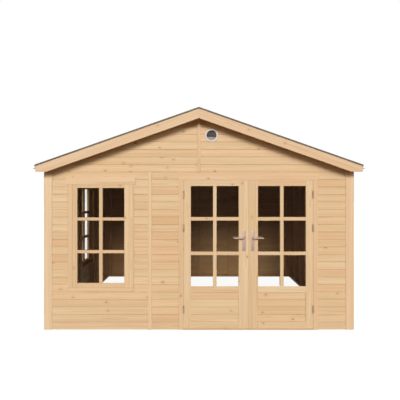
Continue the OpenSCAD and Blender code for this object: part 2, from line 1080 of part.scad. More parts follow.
module verge_trims() {
    color("dimgray")
        for (x = [0, 1])
            for (y = [0, 1])
                mirror([x, 0, 0])
                    mirror([0, y, 0])
                        left_verge_trim();
}

// An angle that hangs from the edge of the roof boards and kicks out under it
module left_drip_edge() {
    top = under_roof(roof_x) + deck_v;
    foot = top - drip_h;
    upright_slab(-roof_y, roof_y)
        polygon([
            [-roof_x, top],
            [-roof_x, foot],
            [-roof_x - drip_out, foot - drip_t],
            [-roof_x - drip_out, foot],
            [-roof_x - drip_t, foot + drip_t],
            [-roof_x - drip_t, top - slope * drip_t]]);
}

module drip_edges() {
    color("dimgray")
        for (side = [0, 1])
            mirror([side, 0, 0])
                left_drip_edge();
}

// A round vent: a flange on the boards and a sleeve through them
module vent() {
    color("white")
        translate([vent_x, -face_y, vent_z])
            rotate([90, 0, 0])
                rotate_extrude()
                    polygon([
                        [vent_r, -board_t],
                        [vent_r + vent_wall, -board_t],
                        [vent_r + vent_wall, 0],
                        [vent_flange_r, 0],
                        [vent_flange_r, vent_flange_t - 3],
                        [vent_flange_r - 3, vent_flange_t],
                        [vent_r + 2, vent_flange_t],
                        [vent_r, vent_flange_t - 2]]);
}

wall_plates();
wall_studs();
corner_posts();
front_window_boards();
door_panel_boards();
rear_boards();
left_boards();
right_boards();
front_gable();
rear_gable();
joint_strips();
front_window_casing();
front_window_frame();
front_window_glass();
side_window_casing();
side_window_frame();
side_window_glass();
door_casing();
door_frame();
door_threshold();
frame_hinges();
left_door_frame();
left_door_panel();
left_door_glass();
left_door_hinges();
left_door_plates();
left_lever();
right_door_frame();
right_door_panel();
right_door_glass();
right_door_hinges();
right_door_plates();
right_lever();
eaves_beams();
ridge_beam();
rafters();
left_roof_boards();
right_roof_boards();
left_roof_felt();
right_roof_felt();
front_bargeboards();
rear_bargeboards();
verge_trims();
drip_edges();
vent();
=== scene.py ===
"""A boarded garden cabin: its boards, joinery, roof and fittings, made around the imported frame."""

import math
import random

import bmesh
import bpy
from bpy.props import FloatProperty, FloatVectorProperty, IntProperty, PointerProperty
from mathutils import Matrix, Vector


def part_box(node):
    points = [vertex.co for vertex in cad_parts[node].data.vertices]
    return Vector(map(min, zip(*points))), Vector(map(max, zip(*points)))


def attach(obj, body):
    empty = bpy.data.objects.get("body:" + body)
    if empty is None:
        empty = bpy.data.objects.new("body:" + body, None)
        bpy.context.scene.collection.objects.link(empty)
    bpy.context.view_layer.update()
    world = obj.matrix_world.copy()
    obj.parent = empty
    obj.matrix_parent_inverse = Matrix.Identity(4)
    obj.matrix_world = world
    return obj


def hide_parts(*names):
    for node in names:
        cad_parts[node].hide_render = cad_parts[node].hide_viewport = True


bl_info = {
    "name": "Boarded garden cabin",
    "version": (1, 0, 0),
    "blender": (4, 5, 0),
    "location": "View3D > Sidebar > Cabin",
    "description": "Boards, joinery, roof and fittings of a garden cabin, made around its packed frame",
    "category": "Object",
}

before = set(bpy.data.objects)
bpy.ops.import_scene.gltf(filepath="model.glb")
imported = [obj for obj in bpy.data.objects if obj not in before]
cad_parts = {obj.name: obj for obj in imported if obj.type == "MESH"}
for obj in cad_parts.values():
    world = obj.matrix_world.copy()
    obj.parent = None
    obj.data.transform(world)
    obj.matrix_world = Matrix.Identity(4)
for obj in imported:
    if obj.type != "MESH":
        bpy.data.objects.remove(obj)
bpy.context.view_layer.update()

UP = Vector((0, 0, 1))
REARWARD = Vector((0, 1, 0))
# Edges of a solid that turn by more than this are eased.
SHARP = math.radians(60)
# Faces that turn by less than this are one flat face.
FLAT = math.radians(0.5)
# Points and heights that are closer than this are the same.
WELD = 1e-5


def metres(name, description, default):
    """A setting for a length."""
    return FloatProperty(name=name, description=description, default=default, unit="LENGTH")


def degrees(name, description, default):
    """A setting for an angle, whose default is given in degrees."""
    radians = math.radians(default)
    return FloatProperty(name=name, description=description, default=radians, subtype="ANGLE")


def amount(name, description, default):
    """A setting for a plain number."""
    return FloatProperty(name=name, description=description, default=default)


def pieces(name, description, default):
    """A setting for how many there are, which is at least one."""
    return IntProperty(name=name, description=description, default=default, min=1)


def rgb(name, description, *default):
    """A setting for a colour."""
    return FloatVectorProperty(
        name=name, description=description, default=default, size=3, subtype="COLOR"
    )


class CabinTimberSettings(bpy.types.PropertyGroup):
    """Sizes of the boards and of the members that the frame doesn't give by itself"""

    board_pitch: metres("Board cover width", "Height that each wall board covers", 0.092)
    joint_bevel: metres("Joint bevel", "Bevel on a board's edge, two of which make a V joint", 0.0045)
    arris: metres("Arris", "Rounding of the edges of planed timber", 0.002)
    groove: metres("Groove depth", "How far glass and panels reach into the frame round them", 0.008)
    side_panel: metres("Side panel width", "Width of a side wall's first and last panel", 0.9)
    roof_board: metres("Roof board width", "Cover width of one roof board", 0.089)


class CabinJoinerySettings(bpy.types.PropertyGroup):
    """Sizes of the sashes, leaves and glazing bars"""

    lining: metres("Lining thickness", "Thickness of the boards that line a window hole", 0.020)
    sash_depth: metres("Sash depth", "Depth of a window sash from front to back", 0.044)
    window_bar: metres("Window bar", "Width of the upright glazing bars of a window", 0.043)
    window_cross: metres("Window cross bar", "Height of the level glazing bars of a window", 0.038)
    door_bar: metres("Door bar", "Width of the glazing bars of a door leaf", 0.043)
    casing_planed: metres("Door casing planed", "What is planed off the face of the door's casing", 0.005)
    window_planed: metres(
        "Window casing planed", "What is planed off the face of the front window's casing", 0.008
    )
    rail_fall: metres("Rail fall", "Fall to the inside of the top of the rail under a pane", 0.010)
    columns: pieces("Columns", "Panes side by side in each glazed field", 2)
    rows: pieces("Rows", "Panes above one another in each glazed field", 3)


class CabinFinishSettings(bpy.types.PropertyGroup):
    """Colours of the cabin's materials"""

    pale_wood: rgb("Pale wood", "Early wood of fresh planed spruce", 0.80, 0.615, 0.400)
    honey_wood: rgb("Honey wood", "Late wood and darker streaks of spruce", 0.64, 0.420, 0.222)
    knot: rgb("Knot", "Rim of a knot", 0.23, 0.105, 0.040)
    felt: rgb("Felt", "Mineral surface of the roofing felt", 0.100, 0.079, 0.066)
    verge: rgb("Verge", "Felt over the trims along the verges", 0.175, 0.143, 0.108)
    hinge: rgb("Hinge steel", "Browned steel of the hinges", 0.38, 0.27, 0.175)
    satin: rgb("Satin metal", "Satin metal of the handles", 0.44, 0.315, 0.255)
    plastic: rgb("Vent plastic", "Pale plastic of the vent", 0.60, 0.53, 0.455)
    glass: rgb("Glass", "Tint of what is seen through one face of the glass", 0.99, 0.99, 0.985)
    room_light: rgb(
        "Light through the glass", "What one face of the glass leaves of the room's light", 0.72, 0.66, 0.57
    )


class CabinStageSettings(bpy.types.PropertyGroup):
    """Camera, lights and floor"""

    camera_back: metres("Camera distance", "Distance of the camera in front of the cabin's middle", 6.486)
    camera_height: metres("Camera height", "Height of the camera above the ground", 1.677)
    focal_length: amount("Focal length", "Focal length of the camera, in millimetres", 35.91)
    sensor_width: amount("Sensor width", "Width of the camera's sensor, in millimetres", 36.0)
    shift_x: amount("Shift across", "Shift of the frame to the right, in frame widths", 0.0026)
    shift_y: amount("Shift upwards", "Shift of the frame upwards, in frame widths", -0.018)
    key_strength: amount("Key light", "Strength of the sun lamp from the front", 2.48)
    key_azimuth: degrees("Key azimuth", "Angle of the key light to the right of the camera's axis", -1)
    key_elevation: degrees("Key elevation", "Angle of the key light above the horizon", 20)
    side_strength: amount("Side light", "Strength of the sun lamp from the front and the right", 0.6)
    side_azimuth: degrees("Side azimuth", "Angle of the side light to the right of the camera's axis", 38)
    side_elevation: degrees("Side elevation", "Angle of the side light above the horizon", 17)
    left_strength: amount("Left light", "Strength of the sun lamp from the front and the left", 0.35)
    left_azimuth: degrees("Left azimuth", "Angle of the left light to the right of the camera's axis", -35)
    left_elevation: degrees("Left elevation", "Angle of the left light above the horizon", 14)
    fill_strength: amount("Fill light", "Strength of each sun lamp from behind", 2.9)
    fill_azimuth: degrees("Fill azimuth", "Angle of each fill light to its side of the camera's axis", 118)
    fill_elevation: degrees("Fill elevation", "Angle of the fill lights above the horizon", 24)
    front_spread: degrees("Front spread", "Width of the suns in front, as seen from the cabin", 18)
    fill_spread: degrees("Fill spread", "Width of the suns behind, as seen from the cabin", 40)
    lamp: rgb("Lamp colour", "Colour of the lights from the front", 1.0, 0.985, 0.96)
    sky_strength: amount("Sky", "Strength of the even light from all round", 0.02)
    sky: rgb("Sky colour", "Colour of the even light from all round", 1.0, 0.86, 0.62)
    floor_glow: amount("Floor glow", "Own light of the floor, where it is seen", 0.96)
    floor: rgb("Floor", "What the floor adds in the light, where it is seen", 0.12, 0.12, 0.12)
    bounce: rgb("Floor bounce", "What the floor throws back on the cabin", 0.10, 0.08, 0.045)


class Side:
    """One side of the cabin: the way it looks out, and the way that runs to the right along it"""

    def __init__(self, out, right):
        self.out = Vector(out)
        self.right = Vector(right)

    def ends(self, node, way):
        """Where a node starts and ends along this way."""
        low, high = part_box(node)
        return sorted((way.dot(low), way.dot(high)))

    def across(self, node):
        """The left and the right end of a node on this side."""
        return self.ends(node, self.right)

    def depths(self, node):
        """How far out a node's back and its face lie."""
        return self.ends(node, self.out)

    def level(self, face):
        """Axes of level boards whose face lies this far out: u to the right, v up."""
        return axes(self.out * face, self.right, UP)

    def upright(self, face):
        """Axes of upright boards whose face lies this far out: u up, v to the left."""
        return axes(self.out * face, UP, -self.right)


def axes(origin, along, across):
    """A matrix from a board's own axes, which are its grain, its width and its face's normal."""
    along = along.normalized()
    across = across.normalized()
    matrix = Matrix((along, across, along.cross(across))).transposed().to_4x4()
    matrix.translation = origin
    return matrix


FRONT = Side((0, -1, 0), (1, 0, 0))
REAR = Side((0, 1, 0), (-1, 0, 0))
LEFT = Side((-1, 0, 0), (0, -1, 0))
RIGHT = Side((1, 0, 0), (0, 1, 0))


class Roof:
    """The form of the slopes, read from the frame. Heights are those of the rafters' upper face."""

    def __init__(self):
        low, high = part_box("left_roof_boards")
        gable_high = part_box("front_gable")[1]
        self.wall_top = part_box("corner_posts")[1].z
        self.peak = gable_high.z
        self.gable_half = gable_high.x
        self.half = -low.x
        self.end = high.y
        beam_inner = min(abs(vert.co.x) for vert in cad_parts["eaves_beams"].data.vertices)
        self.slope = (self.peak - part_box("eaves_beams")[1].z) / beam_inner
        self.angle = math.atan(self.slope)
        self.bed = low.z - self.under(self.half)
        self.board = (high.z - self.peak - self.bed) * math.cos(self.angle)

    def under(self, x):
        """Height of the rafters' upper face at a distance from the middle."""
        return self.peak - self.slope * abs(x)

    def plane(self, sign, lift):
        """Axes on the underside of a layer of one slope: u to the rear, v to the right along the slope."""
        normal = Vector((-sign * math.sin(self.angle), 0, -math.cos(self.angle)))
        return axes(Vector((0, 0, self.peak + lift)), REARWARD, normal.cross(REARWARD))


ROOF = Roof()


class Parts:
    """Boards and fittings gathered in one mesh. Each point keeps its place along and across the grain of
    its own board, and each board draws a tone of its own."""

    def __init__(self, seed, arris=None):
        self.dice = random.Random(seed)
        self.arris = arris or bpy.context.scene.cabin_timber.arris
        self.points = []
        self.faces = []
        self.grain = []
        self.tone = []

    def take(self, mesh, place, middle=Vector()):
        """Adds a small mesh, whose own axes are its grain, its width and its face's normal."""
        start = len(self.points)
        tone = [self.dice.random() for _ in range(3)]
        mesh.verts.index_update()
        for vert in mesh.verts:
            self.points.append(place @ vert.co)
            self.grain.append(vert.co - middle)
            self.tone.append(tone)
        for face in mesh.faces:
            self.faces.append([start + vert.index for vert in face.verts])
        mesh.free()

    def board(self, outline, thickness, place, joints=None, fall=0.0):
        """A board with this outline, its face on the axes' plane. Its long edges that lie at a joint are
        bevelled wide on the face, and without joints all its edges are eased alike. Its upper edge falls
        this much to the back."""
        mesh = slab(outline, thickness)
        foot, head = min(v for _, v in outline), max(v for _, v in outline)
        for vert in mesh.verts:
            if vert.co.z < -WELD and vert.co.y > head - WELD:
                vert.co.y -= fall
        if joints is None:
            bevel(mesh, mesh.edges, self.arris)
        else:
            bevel(mesh, joint_edges(mesh, joints, 0), bpy.context.scene.cabin_timber.joint_bevel)
            bevel(mesh, joint_edges(mesh, joints, -thickness), self.arris / 2)
        self.take(mesh, place, Vector((0, (foot + head) / 2, 0)))

    def level(self, side, face, thickness, across, heights, fall=0.0):
        """A level board between two places across a side and two heights."""
        self.board(rectangle(*across, *heights), thickness, side.level(face), fall=fall)

    def upright(self, side, face, thickness, across, heights):
        """An upright board between two places across a side and two heights."""
        left, right = across
        self.board(rectangle(*heights, -right, -left), thickness, side.upright(face))

    def dress(self, *nodes, planed=0.0):
        """Takes over the nodes' solids, with eased edges and the grain along the longest edge of each, and
        with this much planed off their front."""
        for node in nodes:
            low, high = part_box(node)
            middle = (low.y + high.y) / 2
            for solid in solids(node):
                for vert in solid.verts:
                    if vert.co.y < middle:
                        vert.co.y += planed
                place = grain_axes(solid)
                solid.transform(place.inverted())
                solid.normal_update()
                sharp = [edge for edge in solid.edges if edge.calc_face_angle(0.0) > SHARP]
                bevel(solid, sharp, self.arris)
                back = min(vert.co.z for vert in solid.verts)
                self.take(solid, place, Vector((0, 0, back)))

    def turned(self, profile, place, steps=32):
        """A round solid: (radius, height) points turned about the third of the axes."""
        mesh = bmesh.new()
        rings = []
        for radius, height in profile:
            count = steps if radius else 1
            turns = [math.tau * n / count for n in range(count)]
            points = [(radius * math.cos(a), radius * math.sin(a), height) for a in turns]
            rings.append([mesh.verts.new(point) for point in points])
        self.skin(mesh, rings, steps, place)

    def bar(self, path, widths, height, steps=20):
        """A rounded bar along level points, with a width at each and the same height throughout, except
        that a narrow end is lower."""
        mesh = bmesh.new()
        rings = []
        end_share = 0.25
        for n, point in enumerate(path):
            ahead = path[min(n + 1, len(path) - 1)] - path[max(n - 1, 0)]
            across = ahead.normalized().cross(UP)
            share = min(1, widths[n] / max(widths) + end_share)
            rings.append([
                mesh.verts.new(
                    point
                    + across * (widths[n] / 2 * squircle(math.cos(a)))
                    + UP * (height / 2 * squircle(math.sin(a)) * share)
                )
                for a in (math.tau * k / steps for k in range(steps))
            ])
        self.skin(mesh, rings, steps, Matrix.Identity(4), capped=True)

    def skin(self, mesh, rings, steps, place, capped=False):
        """Joins rings of corners, any of which may be a single point, and takes over the mesh."""
        for ring, following in zip(rings, rings[1:]):
            for n in range(steps):
                corners = [ring[n % len(ring)], ring[(n + 1) % len(ring)]]
                corners += [following[(n + 1) % len(following)], following[n % len(following)]]
                mesh.faces.new(list(dict.fromkeys(corners)))
        if capped:
            mesh.faces.new(rings[0])
            mesh.faces.new(rings[-1][::-1])
        bmesh.ops.recalc_face_normals(mesh, faces=mesh.faces[:])
        self.take(mesh, place)

    def build(self, name, slot, *nodes, body="cabin", material=None, smooth_angle=None):
        """Makes the piece, which rides on a body and stands for these nodes. Its material is the one of
        its slot unless another is named."""
        mesh = bpy.data.meshes.new(name)
        mesh.from_pydata(self.points, [], self.faces)
        for title, values in (("grain", self.grain), ("tone", self.tone)):
            attribute = mesh.attributes.new(title, "FLOAT_VECTOR", "POINT")
            attribute.data.foreach_set("vector", [number for value in values for number in value])
        if smooth_angle:
            mesh.shade_smooth()
            mesh.set_sharp_from_angle(angle=smooth_angle)
        mesh.materials.append(finish(material or slot))
        piece = bpy.data.objects.new(name, mesh)
        bpy.context.scene.collection.objects.link(piece)
        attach(piece, body)
        if nodes:
            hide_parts(*nodes)


def dressed(name, slot, seed, *nodes, arris=None, planed=0.0, material=None):
    """Makes one piece of these nodes' solids."""
    timbers = Parts(seed, arris)
    timbers.dress(*nodes, planed=planed)
    timbers.build(name, slot, *nodes, material=material)


def squircle(value):
    """Pushes a sine or cosine outwards, so that a round section becomes a rounded rectangle."""
    return math.copysign(abs(value) ** 0.6, value)


def rectangle(left, right, low, high):
    return [(left, low), (right, low), (right, high), (left, high)]


def arc(centre, radius, start, end, steps):
    turns = [start + (end - start) * k / steps for k in range(steps + 1)]
    return [(centre[0] + radius * math.cos(a), centre[1] + radius * math.sin(a)) for a in turns]


def slab(outline, thickness):
    """A closed plate with this outline, its face at z = 0 and its back below."""
    mesh = bmesh.new()
    face = [mesh.verts.new((u, v, 0)) for u, v in outline]
    back = [mesh.verts.new((u, v, -thickness)) for u, v in outline]
    mesh.faces.new(face)
    mesh.faces.new(back[::-1])
    for n in range(len(outline)):
        mesh.faces.new((face[n - 1], back[n - 1], back[n], face[n]))
    bmesh.ops.recalc_face_normals(mesh, faces=mesh.faces[:])
    return mesh


def bevel(mesh, edges, width, segments=1):
    bmesh.ops.bevel(
        mesh,
        geom=list(edges),
        offset=width,
        offset_type="OFFSET",
        segments=segments,
        profile=0.5,
        affect="EDGES",
        clamp_overlap=True,
    )


def face_edges(mesh):
    """The edges round the face of a plate."""
    return [edge for edge in mesh.edges if all(abs(vert.co.z) < WELD for vert in edge.verts)]


def joint_edges(mesh, joints, depth):
    """The edges of a board at this depth that lie along one of its joints."""
    found = []
    for edge in mesh.edges:
        ends = [vert.co for vert in edge.verts]
        if all(abs(end.z - depth) < WELD for end in ends):
            if any(all(abs(end.y - joint) < WELD for end in ends) for joint in joints):
                found.append(edge)
    return found


def solids(node):
    """Each solid of a node, as a mesh of its own with its flat faces whole."""
    whole = bmesh.new()
    whole.from_mesh(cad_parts[node].data)
    bmesh.ops.remove_doubles(whole, verts=whole.verts, dist=WELD)
    bmesh.ops.dissolve_limit(whole, angle_limit=FLAT, verts=whole.verts, edges=whole.edges)
    seen = set()
    for first in list(whole.verts):
        if first in seen:
            continue
        seen.add(first)
        group = [first]
        for vert in group:
            for edge in vert.link_edges:
                other = edge.other_vert(vert)
                if other not in seen:
                    seen.add(other)
                    group.append(other)
        part = bmesh.new()
        copies = {vert: part.verts.new(vert.co) for vert in group}
        for face in dict.fromkeys(face for vert in group for face in vert.link_faces):
            part.faces.new([copies[vert] for vert in face.verts])
        part.normal_update()
        yield part
    whole.free()


def grain_axes(solid):
    """Axes of a timber: along its longest edge, with the third square to its largest face."""
    longest = max(solid.edges, key=lambda edge: round(edge.calc_length(), 5))
    along = longest.verts[1].co - longest.verts[0].co
    if max(along, key=abs) < 0:
        along = -along
    face = max(solid.faces, key=lambda face: round(face.calc_area(), 6)).normal
    middle = sum((vert.co for vert in solid.verts), Vector()) / len(solid.verts)
    return axes(middle, along, face.cross(along))


class Shader:
    """Adds nodes to a new material or world: a socket among the inputs is linked, and a value is set"""

    def __init__(self, name, kind=bpy.data.materials):
        self.owner = kind.new(name)
        self.owner.use_nodes = True
        self.nodes = self.owner.node_tree.nodes
        self.links = self.owner.node_tree.links
        self.nodes.clear()

    def add(self, kind, sockets=None, **settings):
        node = self.nodes.new("ShaderNode" + kind)
        for name, value in settings.items():
            setattr(node, name, value)
        for key, value in (sockets or {}).items():
            if isinstance(value, bpy.types.NodeSocket):
                self.links.new(value, node.inputs[key])
            else:
                node.inputs[key].default_value = value
        return node

    def maths(self, operation, *values):
        return self.add("Math", dict(enumerate(values)), operation=operation).outputs[0]

    def times(self, first, second):
        return self.maths("MULTIPLY", first, second)

    def times_plus(self, value, factor, more):
        return self.maths("MULTIPLY_ADD", value, factor, more)

    def vector(self, operation, *values):
        return self.add("VectorMath", dict(enumerate(values)), operation=operation).outputs[0]

    def split(self, vector):
        return self.add("SeparateXYZ", {0: vector}).outputs

    def object_place(self):
        return self.add("TexCoord").outputs["Object"]

    def ramp(self, value, start, end, low=0.0, high=1.0):
        """Maps a value from start..end to low..high along a smooth step."""
        sockets = {"Value": value, "From Min": start, "From Max": end, "To Min": low, "To Max": high}
        return self.add("MapRange", sockets, interpolation_type="SMOOTHSTEP").outputs["Result"]

    def mix(self, factor, first, second, blend="MIX"):
        sockets = {0: factor, 6: first, 7: second}
        return self.add("Mix", sockets, data_type="RGBA", blend_type=blend).outputs[2]

    def dye(self, body, tint):
        """A colour times a tint."""
        return self.mix(1.0, body, colour(tint), "MULTIPLY")

    def noise(self, vector, scale, detail=2.0):
        sockets = {"Vector": vector, "Scale": scale, "Detail": detail}
        return self.add("TexNoise", sockets).outputs["Fac"]

    def stretched_noise(self, vector, scales, detail=2.0):
        """Noise with a scale of its own along each axis."""
        return self.noise(self.vector("MULTIPLY", vector, scales), 1.0, detail)

    def bump(self, height, strength, distance):
        sockets = {"Height": height, "Strength": strength, "Distance": distance}
        return self.add("Bump", sockets).outputs[0]

    def blend(self, share, first, second):
        """A share of the second surface over the first."""
        sockets = {0: share, 1: first.outputs[0], 2: second.outputs[0]}
        return self.add("MixShader", sockets)

    def solid(self, base, roughness, normal, more=None):
        """Closes the material with a solid surface."""
        sockets = {"Base Color": base, "Roughness": roughness, "Normal": normal, **(more or {})}
        return self.close(self.add("BsdfPrincipled", sockets))

    def close(self, surface, output="OutputMaterial"):
        self.add(output, {"Surface": surface.outputs[0]})
        return self.owner


def colour(value):
    return (*value, 1.0)


def knots(shader, place, share):
    """Knots in this share of the cells: the masks of heart, rim and halo, and how far a place lies to the
    side of the knot in its cell."""
    cell = (0.15, 0.105)
    scaled = shader.vector("MULTIPLY", place, (1 / cell[0], 1 / cell[1], 1.0))
    cells = shader.add("TexVoronoi", {"Vector": scaled, "Scale": 1.0}, voronoi_dimensions="2D")
    draw = shader.add("SeparateColor", {0: cells.outputs["Color"]}).outputs
    present = shader.maths("LESS_THAN", draw[0], share)
    radius = shader.times_plus(draw[1], 0.045, 0.030)
    distance = shader.maths("SUBTRACT", cells.outputs["Distance"], radius)
    heart = shader.times(shader.ramp(distance, 0.0, -0.02), present)
    rim = shader.times(shader.ramp(shader.maths("ABSOLUTE", distance), 0.022, 0.0), present)
    halo = shader.times(shader.ramp(distance, 0.30, 0.0), present)
    knot_place = shader.split(cells.outputs["Position"])[1]
    scaled_across = shader.maths("DIVIDE", shader.split(place)[1], cell[1])
    aside = shader.times(shader.maths("SUBTRACT", scaled_across, knot_place), cell[1])
    return heart, rim, halo, aside


def late_wood(shader, across, depth, hue, pith, wander):
    """The mask of late wood, in growth rings about a pith that lies behind the board's face."""
    ring_width = 0.0048
    from_pith = shader.maths("SUBTRACT", across, shader.times_plus(hue, 0.16, -0.08))
    below = shader.maths("ADD", depth, shader.times_plus(pith, 0.09, 0.02))
    squares = shader.maths("ADD", shader.times(from_pith, from_pith), shader.times(below, below))
    radius = shader.times_plus(wander, 0.03, shader.maths("SQRT", squares))
    phase = shader.maths("FRACT", shader.maths("DIVIDE", radius, ring_width))
    return shader.times(shader.ramp(phase, 0.35, 0.9), shader.ramp(phase, 1.0, 0.92))


def wood(name, tint, knot_share):
    """Planed spruce: streaks and growth rings along each timber, knots, a tone of its own for each, and
    painted shade in the V joints.
    """
    colours = bpy.context.scene.cabin_finish
    shader = Shader(name)
    grain = shader.add("Attribute", attribute_name="grain").outputs["Vector"]
    tone = shader.add("Attribute", attribute_name="tone").outputs["Vector"]
    place = shader.vector("MULTIPLY_ADD", tone, (37.0, 23.0, 11.0), grain)
    _, across, depth = shader.split(grain)
    bright, hue, pith = shader.split(tone)

    heart, rim, halo, aside = knots(shader, place, knot_share)
    bend = shader.times(shader.times(aside, halo), -0.8)
    bent_place = shader.vector("ADD", place, shader.add("CombineXYZ", {"Y": bend}).outputs[0])
    wander = shader.stretched_noise(bent_place, (0.9, 3.0, 3.0))
    late = late_wood(shader, shader.maths("ADD", across, bend), depth, hue, pith, wander)
    streak = shader.stretched_noise(bent_place, (0.8, 34.0, 34.0), 3.0)
    cloud = shader.stretched_noise(bent_place, (1.7, 6.0, 6.0))
    fibre = shader.stretched_noise(bent_place, (7.0, 380.0, 380.0))

    dark = shader.times(late, 0.34)
    dark = shader.times_plus(shader.ramp(streak, 0.3, 0.7), 0.34, dark)
    dark = shader.times_plus(cloud, 0.26, dark)
    dark = shader.times_plus(fibre, 0.12, dark)
    body = shader.mix(dark, colour(colours.pale_wood), colour(colours.honey_wood))
    body = shader.mix(bright, body, shader.dye(body, (0.93, 0.875, 0.82)))
    body = shader.mix(shader.ramp(hue, 0.35, 1.0), body, shader.dye(body, (1.015, 0.955, 0.935)))
    body = shader.dye(body, tint)
    body = shader.mix(shader.times(halo, 0.40), body, shader.dye(body, (0.90, 0.72, 0.55)))
    body = shader.mix(shader.times(heart, 0.75), body, colour((0.42, 0.215, 0.095)))
    body = shader.mix(shader.times(rim, 0.8), body, colour(colours.knot))

    # Painted shade: the joint bevels and the board edges just behind the face are darkened by their depth,
    # standing in for the shade in the grooves.
    joint_painted_shade = shader.times(shader.ramp(depth, -0.0005, -0.0045), shader.ramp(depth, -0.012, -0.008))
    body = shader.mix(joint_painted_shade, body, shader.dye(body, (0.84, 0.76, 0.68)))
    height = shader.times_plus(late, -0.5, shader.times(fibre, 0.6))
    height = shader.times_plus(heart, 0.8, height)
    roughness = shader.ramp(dark, 0.1, 0.9, 0.72, 0.58)
    return shader.solid(body, roughness, shader.bump(height, 0.35, 0.0006), {"Specular IOR Level": 0.35})


def felt(name, base):
    """Roofing felt: mineral grains of mixed tone, in patches that are a little paler or darker."""
    shader = Shader(name)
    place = shader.object_place()
    grains = shader.add("TexVoronoi", {"Vector": place, "Scale": 420.0})
    spot = shader.add("SeparateColor", {0: grains.outputs["Color"]}).outputs[0]
    patch = shader.noise(place, 2.2, 4.0)
    body = shader.mix(spot, shader.dye(colour(base), (0.55, 0.55, 0.56)), colour(base))
    body = shader.mix(shader.ramp(spot, 0.86, 1.0), body, colour((0.30, 0.27, 0.25)))
    body = shader.mix(shader.ramp(patch, 0.3, 0.75), body, shader.dye(body, (1.45, 1.4, 1.36)))
    return shader.solid(body, 0.93, shader.bump(grains.outputs["Distance"], 0.8, 0.0012))


def metal(name, base, roughness, streaks, wear, metallic=1.0):
    """Metal with fine streaks, a slight cloud in its gloss, and small marks of use."""
    shader = Shader(name)
    place = shader.object_place()
    brushed = shader.stretched_noise(place, streaks, 3.0)
    cloud = shader.noise(place, 35.0, 3.0)
    body = shader.mix(shader.ramp(cloud, 0.35, 0.8, 0.0, wear), colour(base), colour((0.05, 0.04, 0.035)))
    rough = shader.times_plus(brushed, 0.22, shader.times_plus(cloud, 0.12, roughness))
    return shader.solid(body, rough, shader.bump(brushed, 0.25, 0.0002), {"Metallic": metallic})


def plastic(name, base):
    """Moulded plastic with a fine grain and a little dust."""
    shader = Shader(name)
    place = shader.object_place()
    dust = shader.noise(place, 28.0, 4.0)
    dusty = [0.64 * value for value in base]
    body = shader.mix(shader.ramp(dust, 0.45, 0.8, 0.0, 0.5), colour(base), colour(dusty))
    return shader.solid(body, 0.42, shader.bump(shader.noise(place, 900.0), 0.2, 0.0003))


def glass(name):
    """Flat glass: clear to look through, with a faint gloss that grows at grazing angles, while it leaves
    only a part of the light to the room."""
    colours = bpy.context.scene.cabin_finish
    shader = Shader(name)
    smear = shader.noise(shader.vector("MULTIPLY", shader.object_place(), (3.0, 3.0, 1.2)), 4.0, 3.0)
    clear = shader.add("BsdfTransparent", {0: colour(colours.glass)})
    gloss = shader.add("BsdfGlossy", {"Roughness": shader.ramp(smear, 0.45, 0.8, 0.0, 0.06)})
    slant = shader.maths("POWER", shader.add("LayerWeight", {"Blend": 0.5}).outputs["Facing"], 5.0)
    pane = shader.blend(shader.times_plus(slant, 0.35, 0.003), clear, gloss)
    dim = shader.add("BsdfTransparent", {0: colour(colours.room_light)})
    seen = shader.add("LightPath").outputs["Is Camera Ray"]
    return shader.close(shader.blend(seen, dim, pane))


def recipes():
    """How each finish is made: its kind, the material's name, and what differs from others of the kind."""
    colours = bpy.context.scene.cabin_finish
    return {
        "boards": (wood, "spruce_boards", (1.0, 1.0, 1.0), 0.15),
        "trim_timber": (wood, "spruce_trim", (1.02, 1.025, 1.06), 0.09),
        "barge_timber": (wood, "spruce_bargeboards", (1.06, 1.07, 1.16), 0.09),
        "joinery": (wood, "spruce_joinery", (1.0, 1.005, 1.01), 0.09),
        "frame_timber": (wood, "spruce_framing", (0.96, 0.94, 0.92), 0.20),
        "roof_boards": (wood, "spruce_roof_boards", (0.96, 0.95, 0.93), 0.20),
        "roofing_felt": (felt, "roofing_felt", colours.felt),
        "verge_felt": (felt, "verge_felt", colours.verge),
        "roof_edging": (metal, "roof_edging_metal", (0.055, 0.046, 0.042), 0.45, (40.0, 2.0, 40.0), 0.5),
        "hinge_steel": (metal, "hinge_steel", colours.hinge, 0.35, (90.0, 90.0, 12.0), 0.6),
        "satin_metal": (metal, "satin_metal", colours.satin, 0.40, (500.0, 500.0, 18.0), 0.25, 0.3),
        "nail_zinc": (metal, "nail_zinc", (0.42, 0.40, 0.37), 0.4, (300.0, 300.0, 300.0), 0.4),
        "vent_plastic": (plastic, "vent_plastic", colours.plastic),
        # A darker copy of the vent plastic for the sill: painted shade on the sill inside the vent.
        "vent_shade": (plastic, "vent_shade", (0.23, 0.175, 0.125)),
        "insect_mesh": (plastic, "insect_mesh", (0.030, 0.029, 0.027)),
        "glass": (glass, "window_glass"),
    }


made_materials = {}


def finish(name):
    """The material of this finish, made when it is first asked for."""
    if name not in made_materials:
        make, *details = recipes()[name]
        made_materials[name] = make(*details)
    return made_materials[name]


def coat(slot, *nodes, edge=None):
    """Gives CAD nodes a better material, and eases their edges where a width is given."""
    for name in nodes:
        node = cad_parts[name]
        for place in node.material_slots:
            place.material = finish(slot)
        if edge:
            easing = node.modifiers.new("eased_edges", "BEVEL")
            easing.width = edge
            easing.segments = 2
            easing.limit_method = "ANGLE"
            easing.angle_limit = math.radians(30)


def board_rows(bottom, top):
    """The lower and upper edge of each row of boards between two heights."""
    pitch = bpy.context.scene.cabin_timber.board_pitch
    first = math.floor(bottom / pitch + WELD)
    last = math.ceil(top / pitch - WELD)
    return [(max(bottom, k * pitch), min(top, (k + 1) * pitch)) for k in range(first, last)]


